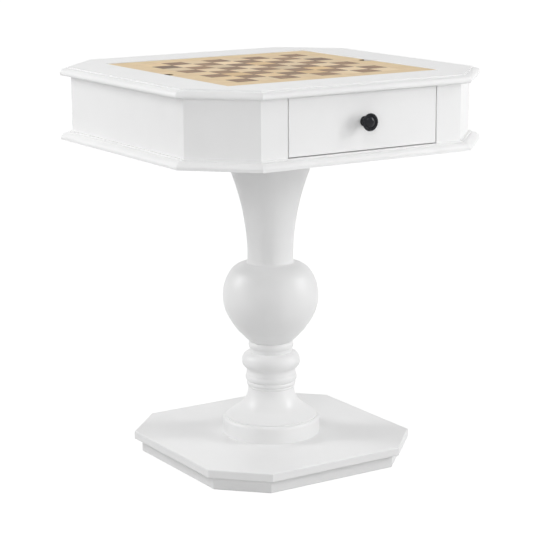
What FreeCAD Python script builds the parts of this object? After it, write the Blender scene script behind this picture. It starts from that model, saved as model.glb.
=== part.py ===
import FreeCAD, Part
import math
import os

import Sketcher
from FreeCAD import Placement, Rotation, Vector

# A pedestal chess table: an eight-sided case with one drawer and a lift-out inlaid board, on a
# turned column and a two-layer base. Millimetres, +Z up, origin at the centre of the base's
# underside. The drawer faces -Y. Every plan outline is a square with its corners clipped at 45
# degrees, and all outlines of the case run parallel to each other.

SIZES = {
    # overall
    "table_height": 787.4,        # floor to the flat of the top
    "top_half": 327.8,            # half width of the flat of the top
    "corner_clip": 103.2,         # how far each corner of that flat is clipped back on both sides
    # top frame
    "top_thick": 16.5,            # thickness of the top frame
    "nose_out": 14.4,             # how far the moulded nose stands out from the flat
    "nose_step": 2.5,             # drop from the flat to the nose
    "nose_round": 9.5,            # radius of the upper round of the nose
    "rail_width": 90.5,           # width of the flat beside the square opening for the board
    "opening_round": 1.5,         # round of the opening's upper edge
    # case
    "apron_inset": 5.9,           # apron face behind the edge of the flat
    "apron_thick": 18.0,          # thickness of the apron panels
    "apron_height": 109.9,        # apron seen between the waist moulding and the top frame
    "waist_height": 17.1,         # height of the waist moulding
    "waist_out": 15.4,            # waist moulding beyond the edge of the flat
    "waist_lip": 2.0,             # upright lip at the top of the waist moulding
    "waist_face": 5.1,            # upright face at the foot of the waist moulding
    "waist_bend": 16.0,           # radius of the waist moulding's curve
    "case_rise": 6.1,             # underside of the case above the foot of the waist moulding
    "floor_thick": 12.0,          # thickness of the case floor
    # board well
    "ledge": 13.3,                # width of the ledge that carries the board
    "well_rail_thick": 30.0,      # thickness of the well rails
    "well_depth": 34.0,           # height of the well rails
    "well_floor_thick": 6.0,      # thickness of the well floor
    "felt_thick": 1.5,            # thickness of the felt on the well floor
    "well_gap": 2.0,              # least gap between the well and the panels of the case
    # board
    "border_width": 50.3,         # width of the border round the squares
    "board_gap": 1.0,             # gap round the board in its opening
    "board_drop": 1.5,            # face of the board below the flat of the top
    "veneer": 0.8,                # thickness of the veneers
    "knife_line": 0.1,            # joint between two veneers
    "seat_gap": 0.3,              # clearance under the board on its ledge
    "notch_radius": 14.5,         # radius of the finger notches
    "notch_set": 5.5,             # centre of a finger notch inside the board's edge
    "notch_recess": 14.0,         # depth of the recess under each notch in the well rail
    # drawer
    "bay_inset": 58.6,            # side of the drawer's bay inside the end of the flat's long side
    "drawer_gap": 2.5,            # gap over and beside the drawer front
    "drawer_foot_gap": 1.4,       # gap under the drawer front
    "drawer_front_thick": 18.0,   # thickness of the drawer front
    "drawer_rear": 47.9,          # rear end of the drawer in front of the middle of the case
    "box_inset": 8.5,             # drawer sides behind the ends of the drawer front
    "box_height": 56.0,           # height of the drawer sides
    "box_thick": 12.0,            # thickness of the drawer sides and back
    "tray_thick": 5.0,            # thickness of the drawer bottom
    "tray_rise": 6.0,             # drawer bottom above the lower edge of the sides
    "groove_depth": 5.0,          # depth of the groove that holds the drawer bottom
    "run_gap": 0.3,               # running clearance under the drawer sides
    "side_gap": 0.8,              # running clearance beside the drawer sides
    "runner_thick": 4.0,          # thickness of the drawer runners
    "runner_width": 14.0,         # width of the drawer runners
    "guide_thick": 16.0,          # thickness of the drawer guides
    "guide_height": 34.0,         # height of the drawer guides
    "guide_over": 12.3,           # runners and guides beyond the rear end of the drawer
    "stop_half": 25.0,            # half width of the drawer stop
    "stop_depth": 12.0,           # depth of the drawer stop
    "stop_inset": 4.0,            # drawer stop behind the drawer front
    "stop_catch": 4.0,            # how far the stop reaches below the top of the drawer back
    # knob
    "knob_flange_radius": 9.5,    # radius of the knob's foot
    "knob_flange_thick": 3.0,     # thickness of the knob's foot
    "knob_neck_radius": 6.0,      # radius of the knob's neck
    "knob_neck_length": 11.5,     # length of the knob's neck
    "knob_cove": 4.5,             # height of the hollow between the neck and the head
    "knob_head_radius": 16.5,     # radius of the knob's head
    "knob_rim": 5.0,              # thickness of the head's rim
    "knob_dish_radius": 12.0,     # radius of the ring groove in the head
    "knob_groove": 1.2,           # width and depth of the ring groove
    "knob_dome": 4.5,             # rise of the domed face above the rim
    "knob_screw_radius": 2.0,     # radius of the knob's screw
    "knob_screw_bite": 11.0,      # how far the screw goes into the knob
    # column
    "bore_radius": 6.5,           # radius of the bore for the tie rod
    "tenon_radius": 20.0,         # radius of the tenons between the turned pieces
    "tenon_length": 14.0,         # length of those tenons
    "disc_radius": 98.5,          # radius of the foot disc
    "disc_height": 34.0,          # height of the foot disc
    "disc_round": 6.0,            # round of the foot disc's upper edge
    "bell_height": 59.5,          # height of the bell
    "bell_rim_radius": 91.6,      # radius of the bell's rim
    "bell_rim_height": 2.5,       # upright edge of the bell's rim
    "bell_slope_radius": 67.0,    # radius where the bell's cove ends
    "bell_slope_height": 19.7,    # height where the bell's cove ends
    "bell_neck_radius": 46.8,     # radius of the bell's neck
    "fillet_height": 5.0,         # height of the lowest ring of the collar
    "fillet_radius": 46.8,        # root radius of that ring
    "fillet_bulge": 1.2,          # bulge of that ring
    "bead_height": 9.0,           # height of the bead over it
    "bead_radius": 48.3,          # root radius of the bead
    "bead_bulge": 1.4,            # bulge of the bead
    "band_height": 14.8,          # height of the band over the bead
    "band_radius": 48.8,          # root radius of the band
    "band_bulge": 3.3,            # bulge of the band
    "scotia_height": 11.7,        # height of the hollow over the band
    "scotia_radius": 50.7,        # radius at the foot of the hollow
    "scotia_bend": 12.3,          # radius of the hollow's curve
    "torus_height": 33.5,         # height of the large ring
    "torus_foot_radius": 50.9,    # radius at the foot of the large ring
    "torus_head_radius": 42.2,    # radius at the head of the large ring
    "torus_bend": 18.2,           # radius of the large ring's curve
    "groove_height": 7.2,         # height of the groove over the large ring
    "groove_radius": 42.0,        # radius of that groove
    "ring_height": 14.8,          # height of the small ring
    "ring_radius": 42.9,          # root radius of the small ring
    "ring_bulge": 2.7,            # bulge of the small ring
    "ring_gap": 1.0,              # groove between the small ring and the urn
    "urn_height": 165.0,          # height of the urn
    "urn_foot_radius": 45.1,      # radius of the urn's foot
    "urn_cone_radius": 65.4,      # radius where the urn's cone ends
    "urn_cone_height": 21.0,      # height where the urn's cone ends
    "urn_cone_bulge": 1.2,        # bulge of the curve between the cone and the belly's curve
    "urn_radius": 96.6,           # largest radius of the urn
    "urn_belly": 92.8,            # height of the largest radius above the urn's foot
    "urn_swell_drop": 38.1,       # where the belly's curve starts, below the belly
    "urn_swell_inset": 9.0,       # how far inside the largest radius that is
    "urn_shoulder_rise": 45.9,    # where the belly's curve ends, above the belly
    "urn_shoulder_inset": 12.4,   # how far inside the largest radius that is
    "urn_shoulder_bulge": 5.1,    # bulge of the shoulder's curve
    "urn_cove_height": 4.6,       # height of the small cove under the neck
    "urn_cove_width": 3.4,        # width of that cove
    "neck_radius": 46.0,          # radius of the neck over the urn
    "neck_straight": 5.0,         # straight part of the neck
    "flare_radius": 107.0,        # radius of the flare at the top of the column
    "flare_rim": 8.0,             # upright rim of the flare
    # tie rod
    "rod_radius": 6.0,            # radius of the tie rod
    "rod_end": 3.0,               # rod beyond each nut
    "washer_radius": 18.0,        # radius of the washers
    "washer_thick": 3.0,          # thickness of the washers
    "nut_radius": 11.0,           # radius over the corners of the nuts
    "nut_height": 10.0,           # height of the nuts
    "sink_radius": 22.0,          # radius of the recess for the lower nut
    "sink_depth": 20.0,           # depth of that recess
    # base
    "base_half": 237.6,           # half width of the upper base board
    "base_clip": 89.5,            # how far each corner of that board is clipped back
    "base_upper_thick": 17.7,     # thickness of the upper base board
    "base_lower_thick": 26.8,     # thickness of the lower base board
    "base_inset": 14.4,           # lower base board behind the upper one
    "base_round": 2.5,            # round of the base boards' edges
    "base_screw_radius": 2.5,     # radius of the screws in the base
    "base_screw_head": 5.0,       # head radius of those screws
    "base_screw_length": 38.0,    # length of those screws
    "base_screw_spread": 135.0,   # base screws from the middle along X and along Y
    "foot_screw_spread": 50.0,    # screws into the foot disc from the middle likewise
    # case and well screws
    "case_screw_radius": 2.5,     # radius of the screws from the case floor into the column
    "case_screw_head": 5.0,       # head radius of those screws
    "case_screw_length": 38.0,    # length of those screws
    "case_screw_spread": 50.0,    # those screws from the middle along X and along Y
    "well_screw_radius": 2.0,     # radius of the screws through the well rails
    "well_screw_head": 4.0,       # head radius of those screws
    "well_screw_length": 42.0,    # length of those screws
    "well_screw_spread": 150.0,   # well screws from the middle of each rail
}

MITRE = math.tan(math.radians(22.5))    # growth of half a long side per unit of offset
OUTWARD = Rotation(Vector(1, 0, 0), 90)     # turns an upright piece to point out of the front
DOWNWARD = Rotation(Vector(1, 0, 0), 180)
QUARTERS = (0, 90, 180, 270)
SIDE_NAMES = ("front", "right", "back", "left")

DOC = FreeCAD.newDocument("chess_table")
NODES = []


class Size:
    """A length that knows its number and the spreadsheet expression that gives it."""

    def __init__(self, value, text):
        self.value = value
        self.text = text

    def __add__(self, other):
        other = as_size(other)
        return Size(self.value + other.value, f"({self.text} + {other.text})")

    def __sub__(self, other):
        other = as_size(other)
        return Size(self.value - other.value, f"({self.text} - {other.text})")

    def __mul__(self, factor):
        factor = as_size(factor)
        return Size(self.value * factor.value, f"({self.text} * {factor.text})")

    def __truediv__(self, other):
        other = as_size(other)
        return Size(self.value / other.value, f"({self.text} / {other.text})")

    def __neg__(self):
        return Size(-self.value, f"(-{self.text})")


def as_size(number):
    """A plain number as a Size."""
    return number if isinstance(number, Size) else Size(float(number), f"{float(number):.10f}")


class Sheet:
    """The driving sizes, each read as an attribute that is a Size."""

    def __init__(self, sizes):
        self.table = DOC.addObject("Spreadsheet::Sheet", "Sizes")
        for row, (alias, value) in enumerate(sizes.items(), start=1):
            self.table.set(f"A{row}", alias)
            self.table.set(f"B{row}", str(value))
            self.table.setAlias(f"B{row}", alias)
            setattr(self, alias, Size(value, f"Sizes.{alias}"))


S = Sheet(SIZES)
DOC.recompute()
ZERO = as_size(0)


# ---------------------------------------------------------------- heights and half widths

class Levels:
    """Heights and half widths that several pieces share."""

    top = S.table_height
    slab = top - S.top_thick
    waist_top = slab - S.apron_height
    waist = waist_top - S.waist_height
    case = waist + S.case_rise
    floor = case + S.floor_thick
    well = slab - S.well_depth
    well_floor = well - S.well_floor_thick

    base_mid = S.base_lower_thick
    base = base_mid + S.base_upper_thick
    disc = base + S.disc_height
    bell = disc + S.bell_height
    fillet = bell + S.fillet_height
    bead = fillet + S.bead_height
    band = bead + S.band_height
    scotia = band + S.scotia_height
    torus = scotia + S.torus_height
    groove = torus + S.groove_height
    ring = groove + S.ring_height
    urn = ring + S.ring_gap
    neck = urn + S.urn_height

    top_long = S.top_half - S.corner_clip
    opening_half = S.top_half - S.rail_width
    apron = S.top_half - S.apron_inset
    apron_long = top_long - S.apron_inset * MITRE
    inner = apron - S.apron_thick
    inner_long = apron_long - S.apron_thick * MITRE
    well_half = opening_half - S.ledge
    well_outer = well_half + S.well_rail_thick
    board_half = opening_half - S.board_gap
    board_face = top - S.board_drop
    board_foot = slab + S.seat_gap
    grid_half = board_half - S.border_width
    square = grid_half / 4
    bay_half = top_long - S.bay_inset
    drawer_half = bay_half - S.drawer_gap
    box_half = drawer_half - S.box_inset
    front_foot = waist_top + S.drawer_foot_gap
    front_head = slab - S.drawer_gap
    box_foot = floor + S.runner_thick + S.run_gap
    box_head = box_foot + S.box_height
    drawer_inner = S.drawer_front_thick - apron        # Y of the drawer front's inner face
    drawer_end = -S.drawer_rear                        # Y of the drawer's rear end
    base_long = S.base_half - S.base_clip
    knob = (front_foot + front_head) / 2


L = Levels


# ---------------------------------------------------------------- helpers

def put(thing, name, size):
    """Give a property its number and bind it to its expression."""
    setattr(thing, name, size.value)
    thing.setExpression(name, size.text)


def place(thing, x=ZERO, y=ZERO, z=ZERO, turn=None):
    """Put an object at a place bound to the sheet, turned first where a rotation is given."""
    thing.Placement = Placement(Vector(x.value, y.value, z.value), turn or Rotation())
    for axis, size in zip("xyz", (x, y, z)):
        if size is not ZERO:
            thing.setExpression(f"Placement.Base.{axis}", size.text)
    return thing


def turned_about_z(degrees):
    """A rotation about the table's upright axis."""
    return Rotation(Vector(0, 0, 1), degrees)


def box(name, x, y, z):
    """A block between two limits on each axis."""
    block = DOC.addObject("Part::Box", name)
    for side, (low, high) in zip(("Length", "Width", "Height"), (x, y, z)):
        put(block, side, high - low)
    return place(block, x[0], y[0], z[0])


def cylinder(name, radius, z, x=ZERO, y=ZERO):
    """An upright cylinder between two heights."""
    rod = DOC.addObject("Part::Cylinder", name)
    put(rod, "Radius", radius)
    put(rod, "Height", z[1] - z[0])
    return place(rod, x, y, z[0])


def cut(name, base, *tools):
    """A solid less one or more others."""
    result = DOC.addObject("Part::Cut", name)
    result.Base = base
    result.Tool = tools[0] if len(tools) == 1 else group(f"{name}_tools", tools)
    return result


def common(name, base, tool):
    """What two solids share."""
    result = DOC.addObject("Part::Common", name)
    result.Base = base
    result.Tool = tool
    return result


def group(name, members):
    """Several separate solids under one name."""
    result = DOC.addObject("Part::Compound", name)
    result.Links = list(members)
    return result


def screws(name, shank, head, length, spots, z, turn=None):
    """Countersunk wood screws, pointing up unless turned, with their heads' faces at height z."""
    section = [(ZERO, ZERO), (head, ZERO), (shank, head - shank), (shank, length - shank),
               (ZERO, length)]
    return group(name, [place(lathe(f"{name}_{i}", section), x, y, z, turn)
                        for i, (x, y) in enumerate(spots)])


def crossed(spread):
    """Four places on the diagonals, each the given distance along X and along Y."""
    return [(spread, spread), (-spread, spread), (-spread, -spread), (spread, -spread)]


def node(thing, label):
    """Register a finished sub-part under the name of its file."""
    thing.Label = label
    NODES.append(thing)
    return thing


def origin_plane(body, role):
    """One of a body's own origin planes."""
    return next(item for item in body.Origin.OriginFeatures if item.Role == role)


def is_level(edge):
    """Whether an edge lies at one height."""
    return abs(edge.Vertexes[0].Z - edge.Vertexes[-1].Z) < 1e-6


def mirrored_pairs(points):
    """A closed outline from its right-hand half, listed from bottom to top."""
    return list(points) + [(-x, y) for x, y in reversed(points)]


def arc_radius(rise, run):
    """Radius of an arc that leaves upright and reaches run sideways over rise."""
    return (rise * rise + run * run) / (run * 2)


def bulge_radius(height, bulge, run=None):
    """Radius of an arc with the given bulge over a chord that is upright unless a run is given."""
    square = height * height if run is None else height * height + run * run
    return (square / 4 + bulge * bulge) / (bulge * 2)


def corner(entry):
    """Position of an outline's corner as a vector."""
    return Vector(entry[0].value, entry[1].value, 0)


def arc_between(start, end, radius, side):
    """Shorter arc between two points; side is 1 with its centre to the left of the way there."""
    chord = end - start
    middle = (start + end) * 0.5
    rise = math.sqrt(max(radius ** 2 - (chord.Length / 2) ** 2, 0.0))
    left = Vector(-chord.y, chord.x, 0).normalize()
    centre = middle + left * (rise * side)
    first, last = (start, end) if side > 0 else (end, start)
    angles = [math.atan2(p.y - centre.y, p.x - centre.x) for p in (first, last)]
    circle = Part.Circle(centre, Vector(0, 0, 1), radius)
    return Part.ArcOfCircle(circle, angles[0], angles[1])


def pin(sketch, geometry, end, corner_sizes, tag):
    """Hold one end of a line or arc at its place from the sketch's origin."""
    for axis, size in zip("XY", corner_sizes):
        if abs(size.value) < 1e-9:
            sketch.addConstraint(Sketcher.Constraint(
                "PointOnObject", geometry, end, -2 if axis == "X" else -1))
            continue
        ends = (-1, 1, geometry, end) if size.value > 0 else (geometry, end, -1, 1)
        index = sketch.addConstraint(Sketcher.Constraint(f"Distance{axis}", *ends, abs(size.value)))
        sketch.renameConstraint(index, f"{tag}_{axis.lower()}")
        text = size.text if size.value > 0 else f"-{size.text}"
        sketch.setExpression(f"Constraints.{tag}_{axis.lower()}", text)


def outline(sketch, corners, closed=True):
    """Draw an outline of lines and arcs. A corner is (x, y) or (x, y, radius, side), where the
    last two make the way to the next corner an arc."""
    count = len(corners) if closed else len(corners) - 1
    ends = []
    for i in range(count):
        start, end = corner(corners[i]), corner(corners[(i + 1) % len(corners)])
        if len(corners[i]) == 4:
            radius, side = corners[i][2:]
            index = sketch.addGeometry(arc_between(start, end, radius.value, side), False)
            bound = sketch.addConstraint(Sketcher.Constraint("Radius", index, radius.value))
            sketch.renameConstraint(bound, f"bend_{i}")
            sketch.setExpression(f"Constraints.bend_{i}", radius.text)
            ends.append((index, 1, 2) if side > 0 else (index, 2, 1))
        else:
            index = sketch.addGeometry(Part.LineSegment(start, end), False)
            ends.append((index, 1, 2))
    for i in range(count if closed else count - 1):
        here, after = ends[i], ends[(i + 1) % count]
        sketch.addConstraint(Sketcher.Constraint("Coincident", here[0], here[2], after[0], after[1]))
    for i in range(count):
        pin(sketch, ends[i][0], ends[i][1], corners[i][:2], f"corner_{i}")
    if not closed:
        pin(sketch, ends[-1][0], ends[-1][2], corners[-1][:2], f"corner_{count}")


def sketch_on(body, role, corners, name, offset=None, closed=True):
    """A sketch of an outline on one of the body's origin planes, raised where asked."""
    drawing = body.newObject("Sketcher::SketchObject", name)
    drawing.AttachmentSupport = (origin_plane(body, role), "")
    drawing.MapMode = "FlatFace"
    if offset is not None:
        drawing.AttachmentOffset = Placement(Vector(0, 0, offset.value), Rotation())
        drawing.setExpression("AttachmentOffset.Base.z", offset.text)
    outline(drawing, corners, closed)
    return drawing


def prism(name, corners, z, turn=0):
    """A body raised between two heights from a plan outline, turned about the upright axis."""
    body = DOC.addObject("PartDesign::Body", name)
    plan = sketch_on(body, "XY_Plane", corners, f"{name}_plan", offset=z[0])
    pad = body.newObject("PartDesign::Pad", f"{name}_pad")
    pad.Profile = plan
    put(pad, "Length", z[1] - z[0])
    return place(body, turn=turned_about_z(turn))


def lathe(name, corners):
    """A body turned about the upright axis from a half section of (radius, height)."""
    body = DOC.addObject("PartDesign::Body", name)
    section = sketch_on(body, "XZ_Plane", corners, f"{name}_section")
    spin = body.newObject("PartDesign::Revolution", f"{name}_turning")
    spin.Profile = section
    spin.ReferenceAxis = (section, ["V_Axis"])
    spin.Angle = 360
    return body


def octagon(half, long_half):
    """Corners of a square of the given half width with its corners clipped."""
    right = [(long_half, -half), (half, -long_half), (half, long_half), (long_half, half)]
    return mirrored_pairs(right)


def offset_octagon(distance):
    """Outline that runs parallel to the flat of the top at a distance outside it."""
    return octagon(S.top_half + distance, L.top_long + distance * MITRE)


def moulding(body, section, name):
    """Sweep a section, drawn on the YZ plane at the front, round the outline of the flat."""
    start = (ZERO, -S.top_half)
    right = [(L.top_long, -S.top_half), (S.top_half, -L.top_long),
             (S.top_half, L.top_long), (L.top_long, S.top_half)]
    around = [start] + right + [(-x, y) for x, y in reversed(right)]
    route = sketch_on(body, "XY_Plane", around, f"{name}_route", offset=L.slab)
    profile = sketch_on(body, "YZ_Plane", section, f"{name}_section")
    pipe = body.newObject("PartDesign::AdditivePipe", f"{name}_sweep")
    pipe.Profile = profile
    pipe.Spine = (route, [f"Edge{i + 1}" for i in range(len(around))])
    pipe.Transition = "Right corner"
    return pipe


# ---------------------------------------------------------------- top frame

def nosed_ring():
    """The whole top frame before it is parted into rails: a flat plate with a moulded edge."""
    body = DOC.addObject("PartDesign::Body", "top_ring")
    plate = sketch_on(body, "XY_Plane", offset_octagon(ZERO), "top_ring_plan", offset=L.slab)
    pad = body.newObject("PartDesign::Pad", "top_ring_plate")
    pad.Profile = plate
    put(pad, "Length", S.top_thick)
    under = S.top_thick - S.nose_step - S.nose_round
    tip = S.top_half + S.nose_out
    shoulder = L.top - S.nose_step
    widest = shoulder - S.nose_round
    section = [
        (-S.top_half, L.slab),
        (-S.top_half, shoulder),
        (-(tip - S.nose_round), shoulder, S.nose_round, 1),
        (-tip, widest, under, 1),
        (-(tip - under), L.slab),
    ]
    moulding(body, section, "nose")
    square = mirrored_pairs([(L.opening_half, -L.opening_half), (L.opening_half, L.opening_half)])
    window = sketch_on(body, "XY_Plane", square, "opening_plan", offset=L.top)
    pocket = body.newObject("PartDesign::Pocket", "opening")
    pocket.Profile = window
    put(pocket, "Length", S.top_thick)
    DOC.recompute()
    rim = [f"Edge{i + 1}" for i, edge in enumerate(pocket.Shape.Edges)
           if is_level(edge) and abs(edge.CenterOfMass.z - L.top.value) < 1e-6
           and max(abs(edge.CenterOfMass.x), abs(edge.CenterOfMass.y)) < L.opening_half.value + 1e-6]
    fillet = body.newObject("PartDesign::Fillet", "opening_rim")
    fillet.Base = (pocket, rim)
    put(fillet, "Radius", S.opening_round)
    return body


def top_rails(fixings):
    """Four rails, mitred at the middle of the clipped corners, round the board's opening."""
    ring = cut("top_ring_drilled", nosed_ring(), fixings)
    reach = S.top_half + S.nose_out
    for name, turn in zip(SIDE_NAMES, QUARTERS):
        sector = [(ZERO, ZERO), (-reach, -reach), (reach, -reach)]
        wedge = prism(f"rail_wedge_{name}", sector, (L.slab - 1, L.top + 1), turn)
        node(common(f"top_rail_{name}", ring, wedge), f"top_rail_{name}")


# ---------------------------------------------------------------- case

def apron_panel(name, turn, z=None):
    """One long panel of the case with its ends mitred."""
    plan = [(-L.apron_long, -L.apron), (L.apron_long, -L.apron),
            (L.inner_long, -L.inner), (-L.inner_long, -L.inner)]
    return prism(name, plan, z or (L.case, L.slab), turn)


def front_stiles():
    """The two parts of the front panel on either side of the drawer."""
    right = [(L.bay_half, -L.apron), (L.apron_long, -L.apron),
             (L.inner_long, -L.inner), (L.bay_half, -L.inner)]
    left = [(-x, y) for x, y in reversed(right)]
    for side, plan in (("left", left), ("right", right)):
        node(prism(f"front_stile_{side}", plan, (L.case, L.slab)), f"front_stile_{side}")


def case_panels():
    """Sides, back, clipped corners and the front under the drawer."""
    for name, turn in zip(SIDE_NAMES, QUARTERS):
        if name != "front":
            node(apron_panel(f"apron_{name}", turn), f"apron_{name}")
    clip = [(L.apron_long, -L.apron), (L.apron, -L.apron_long),
            (L.inner, -L.inner_long), (L.inner_long, -L.inner)]
    for name, turn in zip(("front_right", "back_right", "back_left", "front_left"), QUARTERS):
        node(prism(f"corner_panel_{name}", clip, (L.case, L.slab), turn), f"corner_panel_{name}")
    front_stiles()
    node(box("front_sill", (-L.bay_half, L.bay_half), (-L.apron, -L.inner), (L.case, L.waist_top)),
         "front_sill")


def case_screws():
    """Screws down through the case floor into the flare of the column."""
    return screws("case_screws", S.case_screw_radius, S.case_screw_head, S.case_screw_length,
                  crossed(S.case_screw_spread), L.floor, DOWNWARD)


def case_floor(fixings):
    """The floor of the case, which the column carries."""
    plate = prism("case_floor_blank", octagon(L.inner, L.inner_long), (L.case, L.floor))
    bore = cylinder("case_floor_bore", S.bore_radius, (L.case - 1, L.floor + 1))
    node(cut("case_floor", plate, bore, fixings), "case_floor")


def waist_strips():
    """The moulding round the foot of the case, mitred into eight strips."""
    body = DOC.addObject("PartDesign::Body", "waist_ring")
    out = S.top_half + S.waist_out
    section = [
        (-L.apron, L.waist),
        (-L.apron, L.waist_top),
        (-S.top_half, L.waist_top),
        (-S.top_half, L.waist_top - S.waist_lip, S.waist_bend, 1),
        (-out, L.waist + S.waist_face),
        (-out, L.waist),
    ]
    moulding(body, section, "waist")
    reach = S.waist_out + S.apron_thick
    inner, inner_long = S.top_half - reach, L.top_long - reach * MITRE
    outer, outer_long = S.top_half + reach, L.top_long + reach * MITRE
    sectors = {
        "waist_long_strips": [(-inner_long, -inner), (-outer_long, -outer),
                              (outer_long, -outer), (inner_long, -inner)],
        "waist_corner_strips": [(inner_long, -inner), (outer_long, -outer),
                                (outer, -outer_long), (inner, -inner_long)],
    }
    for label, sector in sectors.items():
        strips = []
        for turn in QUARTERS:
            wedge = prism(f"{label}_wedge_{turn}", sector, (L.waist - 1, L.waist_top + 1), turn)
            strips.append(common(f"{label}_{turn}", body, wedge))
        node(group(label, strips), label)


# ---------------------------------------------------------------- well under the board

def inside_case(name, blank):
    """A piece of the well, trimmed where it would come near the panels of the case."""
    room = prism(f"{name}_room", octagon(L.inner - S.well_gap, L.inner_long - S.well_gap * MITRE),
                 (L.well_floor - 1, L.slab + 1))
    return common(f"{name}_trimmed", blank, room)


def well_rails(fixings):
    """Rails that hang under the top frame, carry the board and wall the well. The left and right
    ones are hollowed under the finger notches."""
    long, short = (-L.well_outer, L.well_outer), (-L.well_half, L.well_half)
    low, high = (-L.well_outer, -L.well_half), (L.well_half, L.well_outer)
    recesses = finger_notches("rail", (L.slab - S.notch_recess, L.slab + 1))
    for name, x, y in (("front", long, low), ("back", long, high),
                       ("left", low, short), ("right", high, short)):
        blank = box(f"well_rail_{name}_blank", x, y, (L.well, L.slab))
        tools = [fixings] + (recesses if name in ("left", "right") else [])
        rail = inside_case(f"well_rail_{name}", cut(f"well_rail_{name}_drilled", blank, *tools))
        node(rail, f"well_rail_{name}")


def well_floor():
    """The floor of the well and the felt on it."""
    across = (-L.well_outer, L.well_outer)
    plate = box("well_floor_blank", across, across, (L.well_floor, L.well))
    node(inside_case("well_floor", plate), "well_floor")
    inside = (-L.well_half, L.well_half)
    node(box("well_felt", inside, inside, (L.well, L.well + S.felt_thick)), "well_felt")


def well_screws():
    """Screws up through the well rails into the top frame."""
    across = (L.opening_half + L.well_outer) / 2
    spots = []
    for along in (-S.well_screw_spread, S.well_screw_spread):
        spots += [(along, -across), (across, along), (along, across), (-across, along)]
    return screws("well_screws", S.well_screw_radius, S.well_screw_head, S.well_screw_length,
                  spots, L.well)


# ---------------------------------------------------------------- lift-out board

def finger_notches(name, z):
    """Two round cutters at the middle of the board's left and right edges."""
    reach = L.board_half - S.notch_set
    return [cylinder(f"{name}_notch_{side}", S.notch_radius, z, x)
            for side, x in (("left", -reach), ("right", reach))]


def board_sheet(name, z, half):
    """A square sheet of the board with both finger notches."""
    blank = box(f"{name}_blank", (-half, half), (-half, half), z)
    return cut(name, blank, *finger_notches(name, (z[0] - 1, z[1] + 1)))


def board_border():
    """Four mitred strips of veneer round the squares."""
    z = (L.board_face - S.veneer, L.board_face)
    inner = L.grid_half + S.knife_line
    plan = [(-L.board_half, -L.board_half), (L.board_half, -L.board_half), (inner, -inner),
            (-inner, -inner)]
    notches = group("border_notches", finger_notches("border", (z[0] - 1, z[1] + 1)))
    strips = []
    for name, turn in zip(SIDE_NAMES, QUARTERS):
        strip = prism(f"border_{name}", plan, z, turn)
        if name in ("left", "right"):
            strip = cut(f"border_{name}_notched", strip, notches)
        strips.append(strip)
    node(group("board_border", strips), "board_border")


def board_squares():
    """Sixty-four squares of veneer, dark at the front left corner."""
    z = (L.board_face - S.veneer, L.board_face)
    seam = S.knife_line / 2
    squares = {"board_dark_squares": [], "board_light_squares": []}
    for file in range(8):
        for rank in range(8):
            label = "board_dark_squares" if (file + rank) % 2 == 0 else "board_light_squares"
            x, y = L.square * (file - 4), L.square * (rank - 4)
            squares[label].append(box(f"square_{file}_{rank}", (x + seam, x + L.square - seam),
                                      (y + seam, y + L.square - seam), z))
    for label, members in squares.items():
        node(group(label, members), label)


def game_board():
    """Core, face veneers and back veneer of the board that lifts out of the top."""
    core = (L.board_foot + S.veneer, L.board_face - S.veneer)
    node(board_sheet("board_core", core, L.board_half), "board_core")
    node(board_sheet("board_back_veneer", (L.board_foot, core[0]), L.board_half),
         "board_back_veneer")
    board_border()
    board_squares()


# ---------------------------------------------------------------- drawer

def drawer_box(fixing):
    """Front, sides, back and bottom of the drawer."""
    inside = L.box_half - S.box_thick
    z = (L.box_foot, L.box_head)
    tray_foot = L.box_foot + S.tray_rise
    tray = box("drawer_bottom", (-(inside + S.groove_depth), inside + S.groove_depth),
               (L.drawer_inner - S.groove_depth, L.drawer_end - S.box_thick + S.groove_depth),
               (tray_foot, tray_foot + S.tray_thick))
    node(tray, "drawer_bottom")
    face = box("drawer_front_blank", (-L.drawer_half, L.drawer_half), (-L.apron, L.drawer_inner),
               (L.front_foot, L.front_head))
    node(cut("drawer_front", face, tray, fixing), "drawer_front")
    for name, x in (("left", (-L.box_half, -inside)), ("right", (inside, L.box_half))):
        side = box(f"drawer_side_{name}_blank", x, (L.drawer_inner, L.drawer_end), z)
        node(cut(f"drawer_side_{name}", side, tray), f"drawer_side_{name}")
    back = box("drawer_back_blank", (-inside, inside),
               (L.drawer_end - S.box_thick, L.drawer_end), z)
    node(cut("drawer_back", back, tray), "drawer_back")


def drawer_knob():
    """A mushroom knob with a ring groove in its face."""
    foot = S.knob_flange_thick
    head = foot + S.knob_neck_length
    rim = head + S.knob_rim
    groove_in = S.knob_dish_radius
    groove_out = groove_in + S.knob_groove
    dome_bend = (groove_in * groove_in + S.knob_dome * S.knob_dome) / (S.knob_dome * 2)
    under = arc_radius(S.knob_cove, S.knob_head_radius - S.knob_neck_radius)
    section = [
        (S.knob_screw_radius, ZERO),
        (S.knob_flange_radius, ZERO),
        (S.knob_flange_radius, foot / 2),
        (S.knob_neck_radius, foot),
        (S.knob_neck_radius, head - S.knob_cove, under, -1),
        (S.knob_head_radius, head, bulge_radius(S.knob_rim, S.knob_rim / 5), 1),
        (S.knob_head_radius, rim),
        (groove_out, rim),
        (groove_out, rim - S.knob_groove),
        (groove_in, rim - S.knob_groove),
        (groove_in, rim, dome_bend, 1),
        (ZERO, rim + S.knob_dome),
        (ZERO, S.knob_screw_bite),
        (S.knob_screw_radius, S.knob_screw_bite),
    ]
    node(place(lathe("drawer_knob", section), ZERO, -L.apron, L.knob, OUTWARD), "drawer_knob")


def knob_screw():
    """The pan-head screw that holds the knob from inside the drawer."""
    shank = S.knob_screw_radius
    length = S.drawer_front_thick + S.knob_screw_bite
    section = [(ZERO, -shank), (shank * 2, -shank), (shank * 2, ZERO), (shank, ZERO),
               (shank, length), (ZERO, length)]
    return place(lathe("knob_screw", section), ZERO, L.drawer_inner, L.knob, OUTWARD)


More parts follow.
